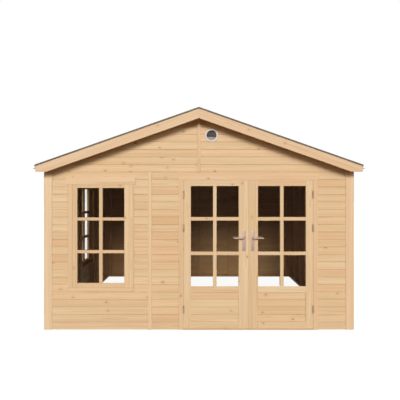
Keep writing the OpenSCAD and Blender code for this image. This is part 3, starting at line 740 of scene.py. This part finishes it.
def cut_board(left, right, low, high, hole):
    """Outlines of what is left of a level board where a rectangular hole crosses it."""
    start, end, foot, head = hole
    if end <= left or start >= right or head <= low or foot >= high:
        return [rectangle(left, right, low, high)]
    if foot <= low and head >= high:
        ends = [(left, start), (end, right)]
        return [rectangle(a, b, low, high) for a, b in ends if b - a > WELD]
    if foot > low:
        notch = [(end, high), (end, foot), (start, foot), (start, high)]
        return [[(left, low), (right, low), (right, high), *notch, (left, high)]]
    notch = [(start, low), (start, head), (end, head), (end, low)]
    return [[(left, low), *notch, (right, low), (right, high), (left, high)]]


def wall_boarding(parts, side, node, ends, hole):
    """Boards between each pair of neighbouring ends across a side, cut round a hole."""
    back, face = side.depths(node)
    low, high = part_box(node)
    for left, right in zip(ends, ends[1:]):
        for row in board_rows(low.z, high.z):
            for outline in cut_board(left, right, *row, hole):
                joints = [height for height in row if height > WELD]
                parts.board(outline, face - back, side.level(face), joints)


def boarded(name, seed, side, node, ends, hole, body="cabin"):
    """Makes one piece of the boards that stand for a node."""
    boards = Parts(seed)
    wall_boarding(boards, side, node, ends, hole)
    boards.build(name, "boards", node, body=body)


def hole_of(side, node, foot=None):
    """The rectangle across a side that a frame fills, down to its foot or to a given height."""
    low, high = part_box(node)
    return (*side.across(node), low.z if foot is None else foot, high.z)


NO_HOLE = (0.0, 0.0, 0.0, 0.0)
BELOW_GROUND = -1.0


class CABIN_OT_wall_boards(bpy.types.Operator):
    """Board every wall, panel by panel, and cut the boards round the windows and the door"""

    bl_idname = "cabin.wall_boards"
    bl_label = "Wall boards"

    def execute(self, context):
        left, joint = FRONT.across("front_window_boards")
        right = FRONT.across("door_panel_boards")[1]
        window, door = hole_of(FRONT, "front_window_frame"), hole_of(FRONT, "door_frame", BELOW_GROUND)
        front = Parts(11)
        wall_boarding(front, FRONT, "front_window_boards", (left, joint), window)
        wall_boarding(front, FRONT, "door_panel_boards", (joint, right), door)
        front.build("front_boarding", "boards", "front_window_boards", "door_panel_boards")
        boarded("rear_boarding", 12, REAR, "rear_boards", (left, joint, -joint, right), NO_HOLE)
        panel = context.scene.cabin_timber.side_panel
        for name, seed, side, node, hole in (
            ("left_boarding", 13, LEFT, "left_boards", hole_of(LEFT, "side_window_frame")),
            ("right_boarding", 14, RIGHT, "right_boards", NO_HOLE),
        ):
            start, end = side.across(node)
            boarded(name, seed, side, node, (start, start + panel, end - panel, end), hole)
        return {"FINISHED"}


def gable_end(low, high):
    """The outer end of a gable board, from its lower to its upper edge, under the roof boards."""
    knee = ROOF.under(ROOF.gable_half)
    points = [(min(ROOF.gable_half, (ROOF.peak - low) / ROOF.slope), low)]
    if low < knee < high:
        points.append((ROOF.gable_half, knee))
    if high < ROOF.peak - WELD:
        points.append((min(ROOF.gable_half, (ROOF.peak - high) / ROOF.slope), high))
    return points


def gable_half_boards(parts, side, node, sign, centre, radius):
    """The boards of one half of a gable, and a round hole in them where the radius isn't zero."""
    back, face = side.depths(node)
    for low, high in board_rows(ROOF.wall_top, ROOF.peak):
        outline = [(0.0, low)]
        if radius and centre[1] < low < centre[1] + radius:
            rise = math.asin((low - centre[1]) / radius)
            outline += arc(centre, radius, math.pi - rise, rise, 20)
        outline += gable_end(low, high)
        if radius and centre[1] < high < centre[1] + radius:
            rise = math.asin((high - centre[1]) / radius)
            outline += arc(centre, radius, rise, -math.pi - rise, 36)
        outline.append((0.0, high))
        outline = [(sign * u, v) for u, v in outline]
        parts.board(outline, face - back, side.level(face), [low, high])


class CABIN_OT_gables(bpy.types.Operator):
    """Board both gables, each in two halves that meet under the middle strip"""

    bl_idname = "cabin.gables"
    bl_label = "Gables"

    def execute(self, context):
        low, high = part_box("vent")
        centre = ((low.x + high.x) / 2, (low.z + high.z) / 2)
        sleeve = 0.063
        for name, side, node, seed in (
            ("front_gable_boarding", FRONT, "front_gable", 21),
            ("rear_gable_boarding", REAR, "rear_gable", 22),
        ):
            boards = Parts(seed)
            for sign in (-1, 1):
                vented = side is FRONT and sign > 0
                gable_half_boards(boards, side, node, sign, centre, sleeve if vented else 0.0)
            boards.build(name, "boards", node)
        return {"FINISHED"}


class CABIN_OT_posts_and_strips(bpy.types.Operator):
    """Dress the corner posts and the strips over the joints between panels"""

    bl_idname = "cabin.posts_and_strips"
    bl_label = "Posts and strips"

    def execute(self, context):
        dressed("posts", "trim_timber", 31, "corner_posts", arris=0.003)
        dressed("cover_strips", "trim_timber", 32, "joint_strips", arris=0.0015)
        return {"FINISHED"}


class CABIN_OT_casings(bpy.types.Operator):
    """Dress the casing boards round the windows and the door"""

    bl_idname = "cabin.casings"
    bl_label = "Casings"

    def execute(self, context):
        joinery = context.scene.cabin_joinery
        for name, node, seed, planed in (
            ("front_window_surround", "front_window_casing", 33, joinery.window_planed),
            ("side_window_surround", "side_window_casing", 34, 0.0),
            ("door_surround", "door_casing", 35, joinery.casing_planed),
        ):
            dressed(name, "trim_timber", seed, node, arris=0.0012, planed=planed)
        return {"FINISHED"}


def equal_gaps(start, end, count, width):
    """Where the bars between a number of equal panes start and end."""
    pane = (end - start - (count - 1) * width) / count
    return [(start + k * pane + (k - 1) * width, start + k * (pane + width)) for k in range(1, count)]


def glazing_bars(parts, side, face, depth, field, heights, upright_width, level_height):
    """Upright bars from foot to head of a glazed field, with level bars let in between them. They lie
    back from both faces of the frame."""
    joinery = bpy.context.scene.cabin_joinery
    back = 0.001
    face -= back
    depth -= 2 * back
    uprights = equal_gaps(*field, joinery.columns, upright_width)
    for bar in uprights:
        parts.upright(side, face, depth, bar, heights)
    starts = [field[0], *(bar[1] for bar in uprights)]
    ends = [*(bar[0] for bar in uprights), field[1]]
    for bar in equal_gaps(*heights, joinery.rows, level_height):
        for reach in zip(starts, ends):
            parts.level(side, face, depth, reach, bar)


def field_of(side, node):
    """Across and heights of the opening that a glass or panel fills, without what its grooves hide."""
    groove = bpy.context.scene.cabin_timber.groove
    left, right = side.across(node)
    low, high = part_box(node)
    return (left + groove, right - groove), (low.z + groove, high.z - groove)


def framed(parts, side, face, depth, outer, heights, inner, inner_heights, fall=0.0):
    """Two stiles from foot to head, and a rail at the foot and the head between them. The foot's upper
    edge falls this much to the back."""
    parts.upright(side, face, depth, (outer[0], inner[0]), heights)
    parts.upright(side, face, depth, (inner[1], outer[1]), heights)
    parts.level(side, face, depth, inner, (heights[0], inner_heights[0]), fall)
    parts.level(side, face, depth, inner, (inner_heights[1], heights[1]))


class CABIN_OT_windows(bpy.types.Operator):
    """Join the window linings and sashes from single members, with their glazing bars"""

    bl_idname = "cabin.windows"
    bl_label = "Windows"

    def execute(self, context):
        joinery = context.scene.cabin_joinery
        lining, depth = joinery.lining, joinery.sash_depth
        for name, side, boards, seed in (
            ("front_window", FRONT, "front_window_boards", 41),
            ("side_window", LEFT, "left_boards", 42),
        ):
            wall_face = side.depths(boards)[1]
            back, sash_face = side.depths(name + "_frame")
            hole = hole_of(side, name + "_frame")
            outer, heights = hole[:2], hole[2:]
            sash = (outer[0] + lining, outer[1] - lining)
            sash_heights = (heights[0] + lining, heights[1] - lining)
            pane = field_of(side, name + "_glass")
            members = Parts(seed)
            framed(members, side, wall_face, wall_face - back, outer, heights, sash, sash_heights)
            framed(members, side, sash_face, depth, sash, sash_heights, *pane, joinery.rail_fall)
            glazing_bars(members, side, sash_face, depth, *pane, joinery.window_bar, joinery.window_cross)
            members.build(name, "joinery", name + "_frame")
        coat("glass", "front_window_glass", "side_window_glass")
        return {"FINISHED"}


class CABIN_OT_door_frame(bpy.types.Operator):
    """Dress the door's jambs, head and threshold, and close the reveals beside the casing with beads"""

    bl_idname = "cabin.door_frame"
    bl_label = "Door frame"

    reveal: metres("Reveal", "How much of the frame's face the casing leaves free", 0.0035)
    leaf_gap: metres("Leaf gap", "Gap between the leaves and the frame", 0.005)
    bead_back: metres("Bead setback", "How far the beads lie behind the leaves' faces", 0.0005)

    def execute(self, context):
        dressed("door_jambs", "joinery", 51, "door_frame")
        dressed("door_sill", "joinery", 52, "door_threshold", arris=0.0015)
        self.beads()
        return {"FINISHED"}

    def beads(self):
        """Beads in front of the jambs and the head, from the sill to just over the leaves."""
        left, right = FRONT.across("door_threshold")
        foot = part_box("door_threshold")[1].z
        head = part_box("left_door_frame")[1].z + self.leaf_gap
        face = FRONT.depths("left_door_frame")[1] - self.bead_back
        depth = face - FRONT.depths("door_frame")[1]
        beads = Parts(53, self.bead_back)
        beads.upright(FRONT, face, depth, (left - self.reveal, left), (foot, head))
        beads.upright(FRONT, face, depth, (right, right + self.reveal), (foot, head))
        beads.level(FRONT, face, depth, (left - self.reveal, right + self.reveal), (head, head + self.reveal))
        beads.build("door_reveal_beads", "joinery")


class CABIN_OT_door_leaves(bpy.types.Operator):
    """Join each leaf from stiles, rails, glazing bars and a boarded panel"""

    bl_idname = "cabin.door_leaves"
    bl_label = "Door leaves"

    leaf_arris: metres("Leaf arris", "Rounding of the edges of the leaves' members", 0.001)
    lip: metres("Lip", "Reach of the lips towards the door frame", 0.0043)
    meeting_lip: metres("Meeting lip", "Reach of the lips where the leaves meet", 0.002)
    lip_back: metres("Lip setback", "How far the lips lie behind the leaf's face", 0.0005)
    lip_depth: metres("Lip depth", "Depth of the lips", 0.008)

    def execute(self, context):
        joinery = context.scene.cabin_joinery
        bar = joinery.door_bar
        for hand, seed in (("left", 61), ("right", 62)):
            body = hand + "_door"
            back, face = FRONT.depths(body + "_frame")
            depth = face - back
            hole = hole_of(FRONT, body + "_frame")
            outer, heights = hole[:2], hole[2:]
            field, pane_heights = field_of(FRONT, body + "_glass")
            foot, rail_foot = field_of(FRONT, body + "_panel")[1]
            members = Parts(seed, self.leaf_arris)
            framed(members, FRONT, face, depth, outer, heights, field, (foot, pane_heights[1]))
            lock_rail = rectangle(*field, rail_foot, pane_heights[0])
            members.board(lock_rail, depth, FRONT.level(face), [rail_foot], joinery.rail_fall)
            glazing_bars(members, FRONT, face, depth, field, pane_heights, bar, bar)
            members.build(hand + "_leaf", "joinery", body + "_frame", body=body)
            panel = body + "_panel"
            ends = FRONT.across(panel)
            boarded(hand + "_leaf_panel", seed + 2, FRONT, panel, ends, NO_HOLE, body)
            coat("glass", body + "_glass")
            self.lips(hand, outer, heights, face, seed + 6)
        return {"FINISHED"}

    def lips(self, hand, across, heights, face, seed):
        """Thin strips let into a leaf's edges that close most of the gap round it, free of the hinges."""
        lips = Parts(seed, self.lip_back)
        face -= self.lip_back
        let_in = self.meeting_lip
        hinge_end, free_end = across if hand == "left" else across[::-1]
        outward = math.copysign(1.0, hinge_end - free_end)
        knuckles = sorted(
            (min(vert.co.z for vert in solid.verts), max(vert.co.z for vert in solid.verts))
            for solid in solids(hand + "_door_hinges")
        )
        feet = [heights[0], *(top + let_in for _, top in knuckles)]
        heads = [*(foot - let_in for foot, _ in knuckles), heights[1]]
        reach = sorted((hinge_end - outward * let_in, hinge_end + outward * self.lip))
        for foot, head in zip(feet, heads):
            lips.upright(FRONT, face, self.lip_depth, reach, (foot, head))
        reach = sorted((free_end + outward * let_in, free_end - outward * self.meeting_lip))
        lips.upright(FRONT, face, self.lip_depth, reach, heights)
        low, high = heights
        for foot, head in ((low - self.lip, low + let_in), (high - let_in, high + self.lip)):
            lips.level(FRONT, face, self.lip_depth, across, (foot, head))
        lips.build(hand + "_leaf_lips", "joinery", body=hand + "_door")


class CABIN_OT_hinges(bpy.types.Operator):
    """Finish the hinges on the jambs and on the leaves"""

    bl_idname = "cabin.hinges"
    bl_label = "Hinges"

    def execute(self, context):
        coat("hinge_steel", "frame_hinges", "left_door_hinges", "right_door_hinges", edge=0.0004)
        return {"FINISHED"}


def round_rectangle(left, right, low, high, radius):
    corners = [
        ((right - radius, low + radius), -math.pi / 2),
        ((right - radius, high - radius), 0.0),
        ((left + radius, high - radius), math.pi / 2),
        ((left + radius, low + radius), math.pi),
    ]
    return [point for centre, turn in corners for point in arc(centre, radius, turn, turn + math.pi / 2, 6)]


def keyhole_outline(x, z, radius, drop):
    """The face of a lock cylinder: a round head over a straight foot with a round end."""
    neck = radius * 0.55
    turn = math.acos(neck / radius)
    head = arc((x, z), radius, -turn, math.pi + turn, 24)
    foot = arc((x, z - drop + neck), neck, math.pi, math.tau, 10)
    return head + foot


def screw_profile(radius):
    """The domed head of a screw or nail, let in by a millimetre."""
    dome = [(0.0, radius * 0.42), (radius * 0.6, radius * 0.36), (radius, radius * 0.1)]
    return dome + [(radius, -0.001), (0.0, -0.001)]


class CABIN_OT_handles(bpy.types.Operator):
    """Make the handle plates, lock cylinders and levers of both leaves"""

    bl_idname = "cabin.handles"
    bl_label = "Handles"

    def execute(self, context):
        for hand, seed in (("left", 71), ("right", 72)):
            self.plates(hand, seed)
            self.lever(hand, seed + 2)
        return {"FINISHED"}

    def plates(self, hand, seed):
        """A plate on each face of the leaf, with a rose at the lever and a lock cylinder under it."""
        thickness, corner, plate_edge = 0.006, 0.008, 0.0015
        rose = [(0.0, 0.004), (0.0125, 0.004), (0.0145, 0.002), (0.0145, -0.001), (0.0, -0.001)]
        lock_drop, lock_radius, lock_length = 0.072, 0.0085, 0.024
        lock_proud, lock_thickness, lock_edge = 0.003, 0.0035, 0.0006
        key_half, key_down, key_up, key_corner = 0.001, 0.005, 0.004, 0.0005
        key_proud, key_thickness = 0.0034, 0.0006
        screw_radius, screw_margin = 0.0042, 0.016

        node = hand + "_door_plates"
        low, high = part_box(node)
        back, face = FRONT.depths(hand + "_door_frame")
        middle, half = (low.x + high.x) / 2, (high.x - low.x) / 2
        lever_low, lever_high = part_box(hand + "_lever")
        lever_z = (lever_low.z + lever_high.z) / 2
        lock_z = lever_z - lock_drop
        parts = Parts(seed)
        for side, surface in ((FRONT, face), (REAR, -back)):
            x = middle * side.right.x
            place = side.level(surface + thickness)
            plate = slab(round_rectangle(x - half, x + half, low.z, high.z, corner), thickness)
            bevel(plate, face_edges(plate), plate_edge, 2)
            parts.take(plate, place)
            parts.turned(rose, place @ Matrix.Translation((x, lever_z, 0)))
            lock = slab(keyhole_outline(x, lock_z, lock_radius, lock_length), lock_thickness)
            bevel(lock, face_edges(lock), lock_edge)
            parts.take(lock, place @ Matrix.Translation((0, 0, lock_proud)))
            slot = round_rectangle(x - key_half, x + key_half, lock_z - key_down, lock_z + key_up, key_corner)
            parts.take(slab(slot, key_thickness), place @ Matrix.Translation((0, 0, key_proud)))
            for z in (low.z + screw_margin, high.z - screw_margin):
                parts.turned(screw_profile(screw_radius), place @ Matrix.Translation((x, z, 0)), 16)
        parts.build(hand + "_handle_plates", "satin_metal", node, body=hand + "_door", smooth_angle=0.4)

    def lever(self, hand, seed):
        """A lever on each face of the leaf, with its half of the shaft."""
        grip, shaft, corner = 0.0125, 0.0155, 0.014
        let_in, clearance, tip_margin = 0.004, 0.0003, 0.001
        stations = (0.3, 0.5, 0.7, 0.85, 0.95, 0.985, 1.0)
        tip_shares = (0.96, 0.97, 0.8, 0.35)

        node = hand + "_lever"
        low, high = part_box(node)
        back, face = FRONT.depths(hand + "_door_frame")
        plate_low, plate_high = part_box(hand + "_door_plates")
        axis = (plate_low.x + plate_high.x) / 2
        tip = low.x + tip_margin if hand == "left" else high.x - tip_margin
        inward = 1 if tip > axis else -1
        z = (low.z + high.z) / 2
        parts = Parts(seed)
        for surface, away, outermost in ((-face, -1, low.y), (-back, 1, high.y)):
            reach = outermost - away * (grip / 2 + clearance)
            path = [Vector((axis, surface - away * let_in, z))]
            for k in range(9):
                turn = k * math.pi / 16
                x = axis + inward * corner * (1 - math.cos(turn))
                path.append(Vector((x, reach - away * corner * (1 - math.sin(turn)), z)))
            for share in stations:
                path.append(Vector((axis + inward * abs(tip - axis) * share, reach, z)))
            widths = [shaft] * 4 + [grip] * 9 + [grip * share for share in tip_shares]
            parts.bar(path, widths, shaft)
        parts.build(hand + "_lever_handle", "satin_metal", node, body=hand + "_handle", smooth_angle=0.7)


class CABIN_OT_framing(bpy.types.Operator):
    """Dress the studs, plates, beams and rafters that show through the glass"""

    bl_idname = "cabin.framing"
    bl_label = "Framing"

    def execute(self, context):
        dressed("wall_framing", "frame_timber", 81, "wall_plates", "wall_studs")
        dressed("roof_framing", "frame_timber", 82, "eaves_beams", "ridge_beam", "rafters")
        return {"FINISHED"}


class CABIN_OT_roof_boards(bpy.types.Operator):
    """Lay the roof boards from the ridge to the eaves, with their V joints below"""

    bl_idname = "cabin.roof_boards"
    bl_label = "Roof boards"

    def execute(self, context):
        width = context.scene.cabin_timber.roof_board
        slope_length = (ROOF.half - ROOF.board * math.sin(ROOF.angle)) / math.cos(ROOF.angle)
        for hand, sign, seed in (("left", -1, 91), ("right", 1, 92)):
            boards = Parts(seed)
            for k in range(math.ceil(slope_length / width)):
                near, far = sorted((sign * k * width, sign * min((k + 1) * width, slope_length)))
                outline = rectangle(-ROOF.end, ROOF.end, near, far)
                boards.board(outline, ROOF.board, ROOF.plane(sign, ROOF.bed), [near, far])
            boards.build(hand + "_roof_boarding", "roof_boards", hand + "_roof_boards")
        return {"FINISHED"}


class CABIN_OT_roof_felt(bpy.types.Operator):
    """Lay the felt in lapped strips on both slopes, with a cap over the ridge"""

    bl_idname = "cabin.roof_felt"
    bl_label = "Roof felt"

    lap: metres("Lap", "How far a strip covers the one below", 0.08)
    cap: metres("Ridge cap", "Width of the cap on each slope", 0.17)
    strips: pieces("Strips", "Strips on each slope", 2)

    def execute(self, context):
        thickness, seam = 0.004, 0.0002
        low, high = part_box("left_roof_felt")
        base = high.z - ROOF.peak - thickness / math.cos(ROOF.angle)
        reach = -low.x / math.cos(ROOF.angle) - thickness * math.tan(ROOF.angle)
        for hand, sign, seed in (("left", -1, 95), ("right", 1, 96)):
            sheets = Parts(seed)
            down = Vector((sign * math.cos(ROOF.angle), 0, -math.sin(ROOF.angle)))
            normal = Vector((sign * math.sin(ROOF.angle), 0, math.cos(ROOF.angle)))
            place = axes(Vector((0, 0, ROOF.peak + base)), down, normal)
            for k in range(self.strips):
                top, foot = reach * k / self.strips, reach * (k + 1) / self.strips
                if k < self.strips - 1:
                    outline = self.lapped(top, foot + self.lap, thickness, seam)
                else:
                    outline = rectangle(top, foot, 0.0, thickness)
                self.sheet(sheets, outline, place, high.y)
            cap = rectangle(0.0, self.cap, thickness + seam, 2 * thickness)
            self.sheet(sheets, cap, place, high.y)
            sheets.build(hand + "_felt", "roofing_felt", hand + "_roof_felt")
        return {"FINISHED"}

    def lapped(self, top, foot, thickness, seam):
        """The section of a strip whose foot climbs onto the strip below."""
        climb, lead = 0.010, 0.004
        lap = foot - self.lap
        under = [(top, 0.0), (lap - climb, 0.0), (lap, thickness + seam), (foot, thickness + seam)]
        over = [(foot, 2 * thickness), (lap - lead, 2 * thickness), (lap - lead - climb, thickness)]
        return [*under, *over, (top, thickness)]

    def sheet(self, sheets, outline, place, half):
        """A strip with this section down the slope, from the front to the rear."""
        mesh = slab(outline, 2 * half)
        mesh.transform(Matrix.Translation((0, 0, half)))
        sheets.take(mesh, place)


class CABIN_OT_bargeboards(bpy.types.Operator):
    """Dress the bargeboards of both ends"""

    bl_idname = "cabin.bargeboards"
    bl_label = "Bargeboards"

    def execute(self, context):
        for name, node, seed in (
            ("front_barge_pair", "front_bargeboards", 101),
            ("rear_barge_pair", "rear_bargeboards", 102),
        ):
            dressed(name, "trim_timber", seed, node, arris=0.0025, material="barge_timber")
        return {"FINISHED"}


class CABIN_OT_roof_edging(bpy.types.Operator):
    """Finish the trims along the verges and the drip edges along the eaves"""

    bl_idname = "cabin.roof_edging"
    bl_label = "Roof edging"

    def execute(self, context):
        dressed("verge_edging", "roof_edging", 111, "verge_trims", arris=0.001, material="verge_felt")
        coat("roof_edging", "drip_edges", edge=0.0005)
        return {"FINISHED"}


class CABIN_OT_vent(bpy.types.Operator):
    """Finish the vent, stretch an insect mesh across the inside of its sleeve and lay a sill in it"""

    bl_idname = "cabin.vent"
    bl_label = "Vent"

    wire: metres("Wire", "Thickness of the mesh's wires", 0.0007)
    step: metres("Step", "Distance between the wires", 0.0030)
    sill_drop: metres("Sill drop", "Distance of the sill's edge below the vent's axis", 0.021)
    sill_back: metres("Sill setback", "How far the sill lies behind the vent's face", 0.012)

    def execute(self, context):
        radius, mesh_in, sill_thickness = 0.0605, 0.002, 0.003
        coat("vent_plastic", "vent", edge=0.0008)
        low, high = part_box("vent")
        centre = ((low.x + high.x) / 2, (low.z + high.z) / 2)
        back, face = FRONT.depths("vent")
        mesh = Parts(121)
        count = math.floor(radius / self.step)
        for k in range(-count, count + 1):
            start, end = k * self.step - self.wire / 2, k * self.step + self.wire / 2
            reach = math.sqrt(radius * radius - k * self.step * (k * self.step))
            level, upright = rectangle(-reach, reach, start, end), rectangle(start, end, -reach, reach)
            for outline, lift in ((level, 0.0), (upright, self.wire)):
                place = FRONT.level(back + mesh_in + lift) @ Matrix.Translation((*centre, 0))
                mesh.take(slab(outline, self.wire), place)
        mesh.build("vent_mesh", "vent_plastic", material="insect_mesh")
        # The sill gets the darker plastic, which paints the shade inside the vent's sleeve.
        sill = Parts(122, self.wire)
        drop = math.asin(self.sill_drop / radius)
        outline = arc(centre, radius, -math.pi + drop, -drop, 24)
        sill.board(outline, sill_thickness, FRONT.level(face - self.sill_back))
        sill.build("vent_sill", "vent_plastic", material="vent_shade")
        return {"FINISHED"}


class CABIN_OT_nails(bpy.types.Operator):
    """Drive the nails through strips, casings and bargeboards"""

    bl_idname = "cabin.nails"
    bl_label = "Nails"

    radius: metres("Head radius", "Radius of a nail head", 0.0032)

    def execute(self, context):
        strip, margin = 0.012, 0.06
        nails = Parts(131)
        joint = FRONT.across("front_window_boards")[1]
        panel = context.scene.cabin_timber.side_panel
        top = ROOF.wall_top
        strip_heights = [margin + k * (top - 2 * margin) / 5 for k in range(6)]
        gable_heights = [top + rise for rise in (margin, 0.30, 0.56)]
        face = FRONT.depths("front_window_boards")[1] + strip
        for side, joints in ((FRONT, [joint]), (REAR, [joint, -joint])):
            self.row(nails, side, face, joints, strip_heights)
            self.row(nails, side, face, [0.0], gable_heights)
        face = LEFT.depths("left_boards")[1] + strip
        for side, node in ((LEFT, "left_boards"), (RIGHT, "right_boards")):
            start, end = side.across(node)
            self.row(nails, side, face, [start + panel, end - panel], strip_heights)
        joinery = context.scene.cabin_joinery
        for side, node, planed in (
            (FRONT, "front_window_casing", joinery.window_planed),
            (LEFT, "side_window_casing", 0.0),
            (FRONT, "door_casing", joinery.casing_planed),
        ):
            self.casing(nails, side, node, side.depths(node)[1] - planed)
        self.barge(nails)
        nails.build("nail_heads", "hinge_steel", material="nail_zinc", smooth_angle=0.6)
        return {"FINISHED"}

    def row(self, nails, side, face, across, heights):
        """A nail at each of these places across a side and each of these heights."""
        let_in = 0.0004
        for u in across:
            for z in heights:
                place = side.level(face) @ Matrix.Translation((u, z, -let_in))
                nails.turned(screw_profile(self.radius), place, 12)

    def casing(self, nails, side, node, face):
        """Nails along the middle of each board of a casing, kept back from its ends."""
        spacing = 0.45
        for solid in solids(node):
            ends = [(side.right.dot(vert.co), vert.co.z) for vert in solid.verts]
            left, right = min(u for u, _ in ends), max(u for u, _ in ends)
            foot, top = min(z for _, z in ends), max(z for _, z in ends)
            solid.free()
            length, width = max(right - left, top - foot), min(right - left, top - foot)
            count = max(2, math.ceil(length / spacing))
            for k in range(count):
                along = width / 2 + k * (length - width) / (count - 1)
                if top - foot > right - left:
                    self.row(nails, side, face, [(left + right) / 2], [foot + along])
                else:
                    self.row(nails, side, face, [left + along], [(foot + top) / 2])

    def barge(self, nails):
        """Two nails across each bargeboard, at five places along it."""
        board_width, start, shorter, spaces = 0.107, 0.06, 0.25, 4
        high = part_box("front_bargeboards")[1]
        drop = board_width / math.cos(ROOF.angle)
        for side, node in ((FRONT, "front_bargeboards"), (REAR, "rear_bargeboards")):
            face = side.depths(node)[1]
            for sign in (-1, 1):
                for k in range(spaces + 1):
                    u = sign * (start + k * (ROOF.half - shorter) / spaces)
                    top = high.z - ROOF.slope * abs(u)
                    self.row(nails, side, face, [u], [top - drop * 0.25, top - drop * 0.75])


class CABIN_OT_stage(bpy.types.Operator):
    """Set the floor, the light and the camera"""

    bl_idname = "cabin.stage"
    bl_label = "Stage"

    def execute(self, context):
        scene = context.scene
        stage = scene.cabin_stage
        self.floor(scene, stage)
        self.sky(scene, stage)
        for name, kind, turn, spread in (
            ("key", "key", 1, stage.front_spread),
            ("side_key", "side", 1, stage.front_spread),
            ("left_key", "left", 1, stage.front_spread),
            ("fill_left", "fill", -1, stage.fill_spread),
            ("fill_right", "fill", 1, stage.fill_spread),
        ):
            azimuth, elevation = getattr(stage, kind + "_azimuth"), getattr(stage, kind + "_elevation")
            lamp = self.sun(scene, name, turn * azimuth, elevation)
            lamp.energy = getattr(stage, kind + "_strength")
            lamp.angle = spread
            if kind != "fill":
                lamp.color = stage.lamp
        self.camera(scene, stage)
        scene.view_settings.view_transform = "Standard"
        return {"FINISHED"}

    def seen(self, shader):
        """1 for the camera's rays, and for those that gloss or glass sends on."""
        path = shader.add("LightPath").outputs
        seen = shader.maths("MAXIMUM", path["Is Camera Ray"], path["Is Glossy Ray"])
        return shader.maths("MAXIMUM", seen, path["Is Transmission Ray"])

    def floor(self, scene, stage):
        """A pale floor. What it throws back on the cabin is kept apart from how it looks."""
        reach = 60.0
        mesh = bpy.data.meshes.new("floor")
        corners = [(u, v, 0.0) for u, v in rectangle(-reach, reach, -reach, reach)]
        mesh.from_pydata(corners, [], [(0, 1, 2, 3)])
        shader = Shader("pale_floor")
        shade = shader.add("BsdfDiffuse", {0: colour(stage.floor)})
        glow = shader.add("Emission", {0: (1.0, 1.0, 1.0, 1.0), 1: stage.floor_glow})
        pale = shader.add("AddShader", {0: shade.outputs[0], 1: glow.outputs[0]})
        bounce = shader.add("BsdfDiffuse", {0: colour(stage.bounce)})
        mesh.materials.append(shader.close(shader.blend(self.seen(shader), bounce, pale)))
        floor = bpy.data.objects.new("floor", mesh)
        scene.collection.objects.link(floor)

    def sky(self, scene, stage):
        """A weak sky, seen as white."""
        shader = Shader("studio", bpy.data.worlds)
        light = shader.add("Background", {0: colour(stage.sky), 1: stage.sky_strength})
        white = shader.add("Background", {0: (1.0, 1.0, 1.0, 1.0), 1: 1.0})
        scene.world = shader.close(shader.blend(self.seen(shader), light, white), "OutputWorld")

    def sun(self, scene, name, azimuth, elevation):
        """A sun that shines at the cabin: azimuth 0 is in front of it, 90 degrees to its right."""
        distance = 12
        towards = Vector((
            math.sin(azimuth) * math.cos(elevation),
            -math.cos(azimuth) * math.cos(elevation),
            math.sin(elevation),
        ))
        lamp = bpy.data.lights.new(name, "SUN")
        light = bpy.data.objects.new(name, lamp)
        light.location = towards * distance
        light.rotation_euler = towards.to_track_quat("Z", "Y").to_euler()
        scene.collection.objects.link(light)
        return lamp

    def camera(self, scene, stage):
        """A level camera in front of the cabin's middle."""
        lens = bpy.data.cameras.new("camera")
        lens.sensor_width = stage.sensor_width
        lens.lens = stage.focal_length
        lens.shift_x = stage.shift_x
        lens.shift_y = stage.shift_y
        camera = bpy.data.objects.new("camera", lens)
        camera.location = (0.0, -stage.camera_back, stage.camera_height)
        camera.rotation_euler = (math.radians(90), 0, 0)
        scene.collection.objects.link(camera)
        scene.camera = camera


OPERATORS = (
    CABIN_OT_wall_boards,
    CABIN_OT_gables,
    CABIN_OT_posts_and_strips,
    CABIN_OT_casings,
    CABIN_OT_windows,
    CABIN_OT_door_frame,
    CABIN_OT_door_leaves,
    CABIN_OT_hinges,
    CABIN_OT_handles,
    CABIN_OT_framing,
    CABIN_OT_roof_boards,
    CABIN_OT_roof_felt,
    CABIN_OT_bargeboards,
    CABIN_OT_roof_edging,
    CABIN_OT_vent,
    CABIN_OT_nails,
    CABIN_OT_stage,
)
SETTINGS = {
    "cabin_timber": CabinTimberSettings,
    "cabin_joinery": CabinJoinerySettings,
    "cabin_finish": CabinFinishSettings,
    "cabin_stage": CabinStageSettings,
}


class CABIN_PT_panel(bpy.types.Panel):
    """Lists the cabin's pieces and the settings that they are made from"""

    bl_idname = "CABIN_PT_panel"
    bl_label = "Garden cabin"
    bl_space_type = "VIEW_3D"
    bl_region_type = "UI"
    bl_category = "Cabin"

    def draw(self, context):
        for operator in OPERATORS:
            self.layout.operator(operator.bl_idname)
        for group in SETTINGS:
            box = self.layout.box()
            settings = getattr(context.scene, group)
            for name in SETTINGS[group].__annotations__:
                box.prop(settings, name)


def register():
    for name, group in SETTINGS.items():
        bpy.utils.register_class(group)
        setattr(bpy.types.Scene, name, PointerProperty(type=group))
    for operator in OPERATORS:
        bpy.utils.register_class(operator)
    bpy.utils.register_class(CABIN_PT_panel)


def unregister():
    bpy.utils.unregister_class(CABIN_PT_panel)
    for operator in reversed(OPERATORS):
        bpy.utils.unregister_class(operator)
    for name, group in SETTINGS.items():
        delattr(bpy.types.Scene, name)
        bpy.utils.unregister_class(group)


def main():
    register()
    for operator in OPERATORS:
        group, name = operator.bl_idname.split(".")
        getattr(getattr(bpy.ops, group), name)()


if __name__ == "__main__":
    main()
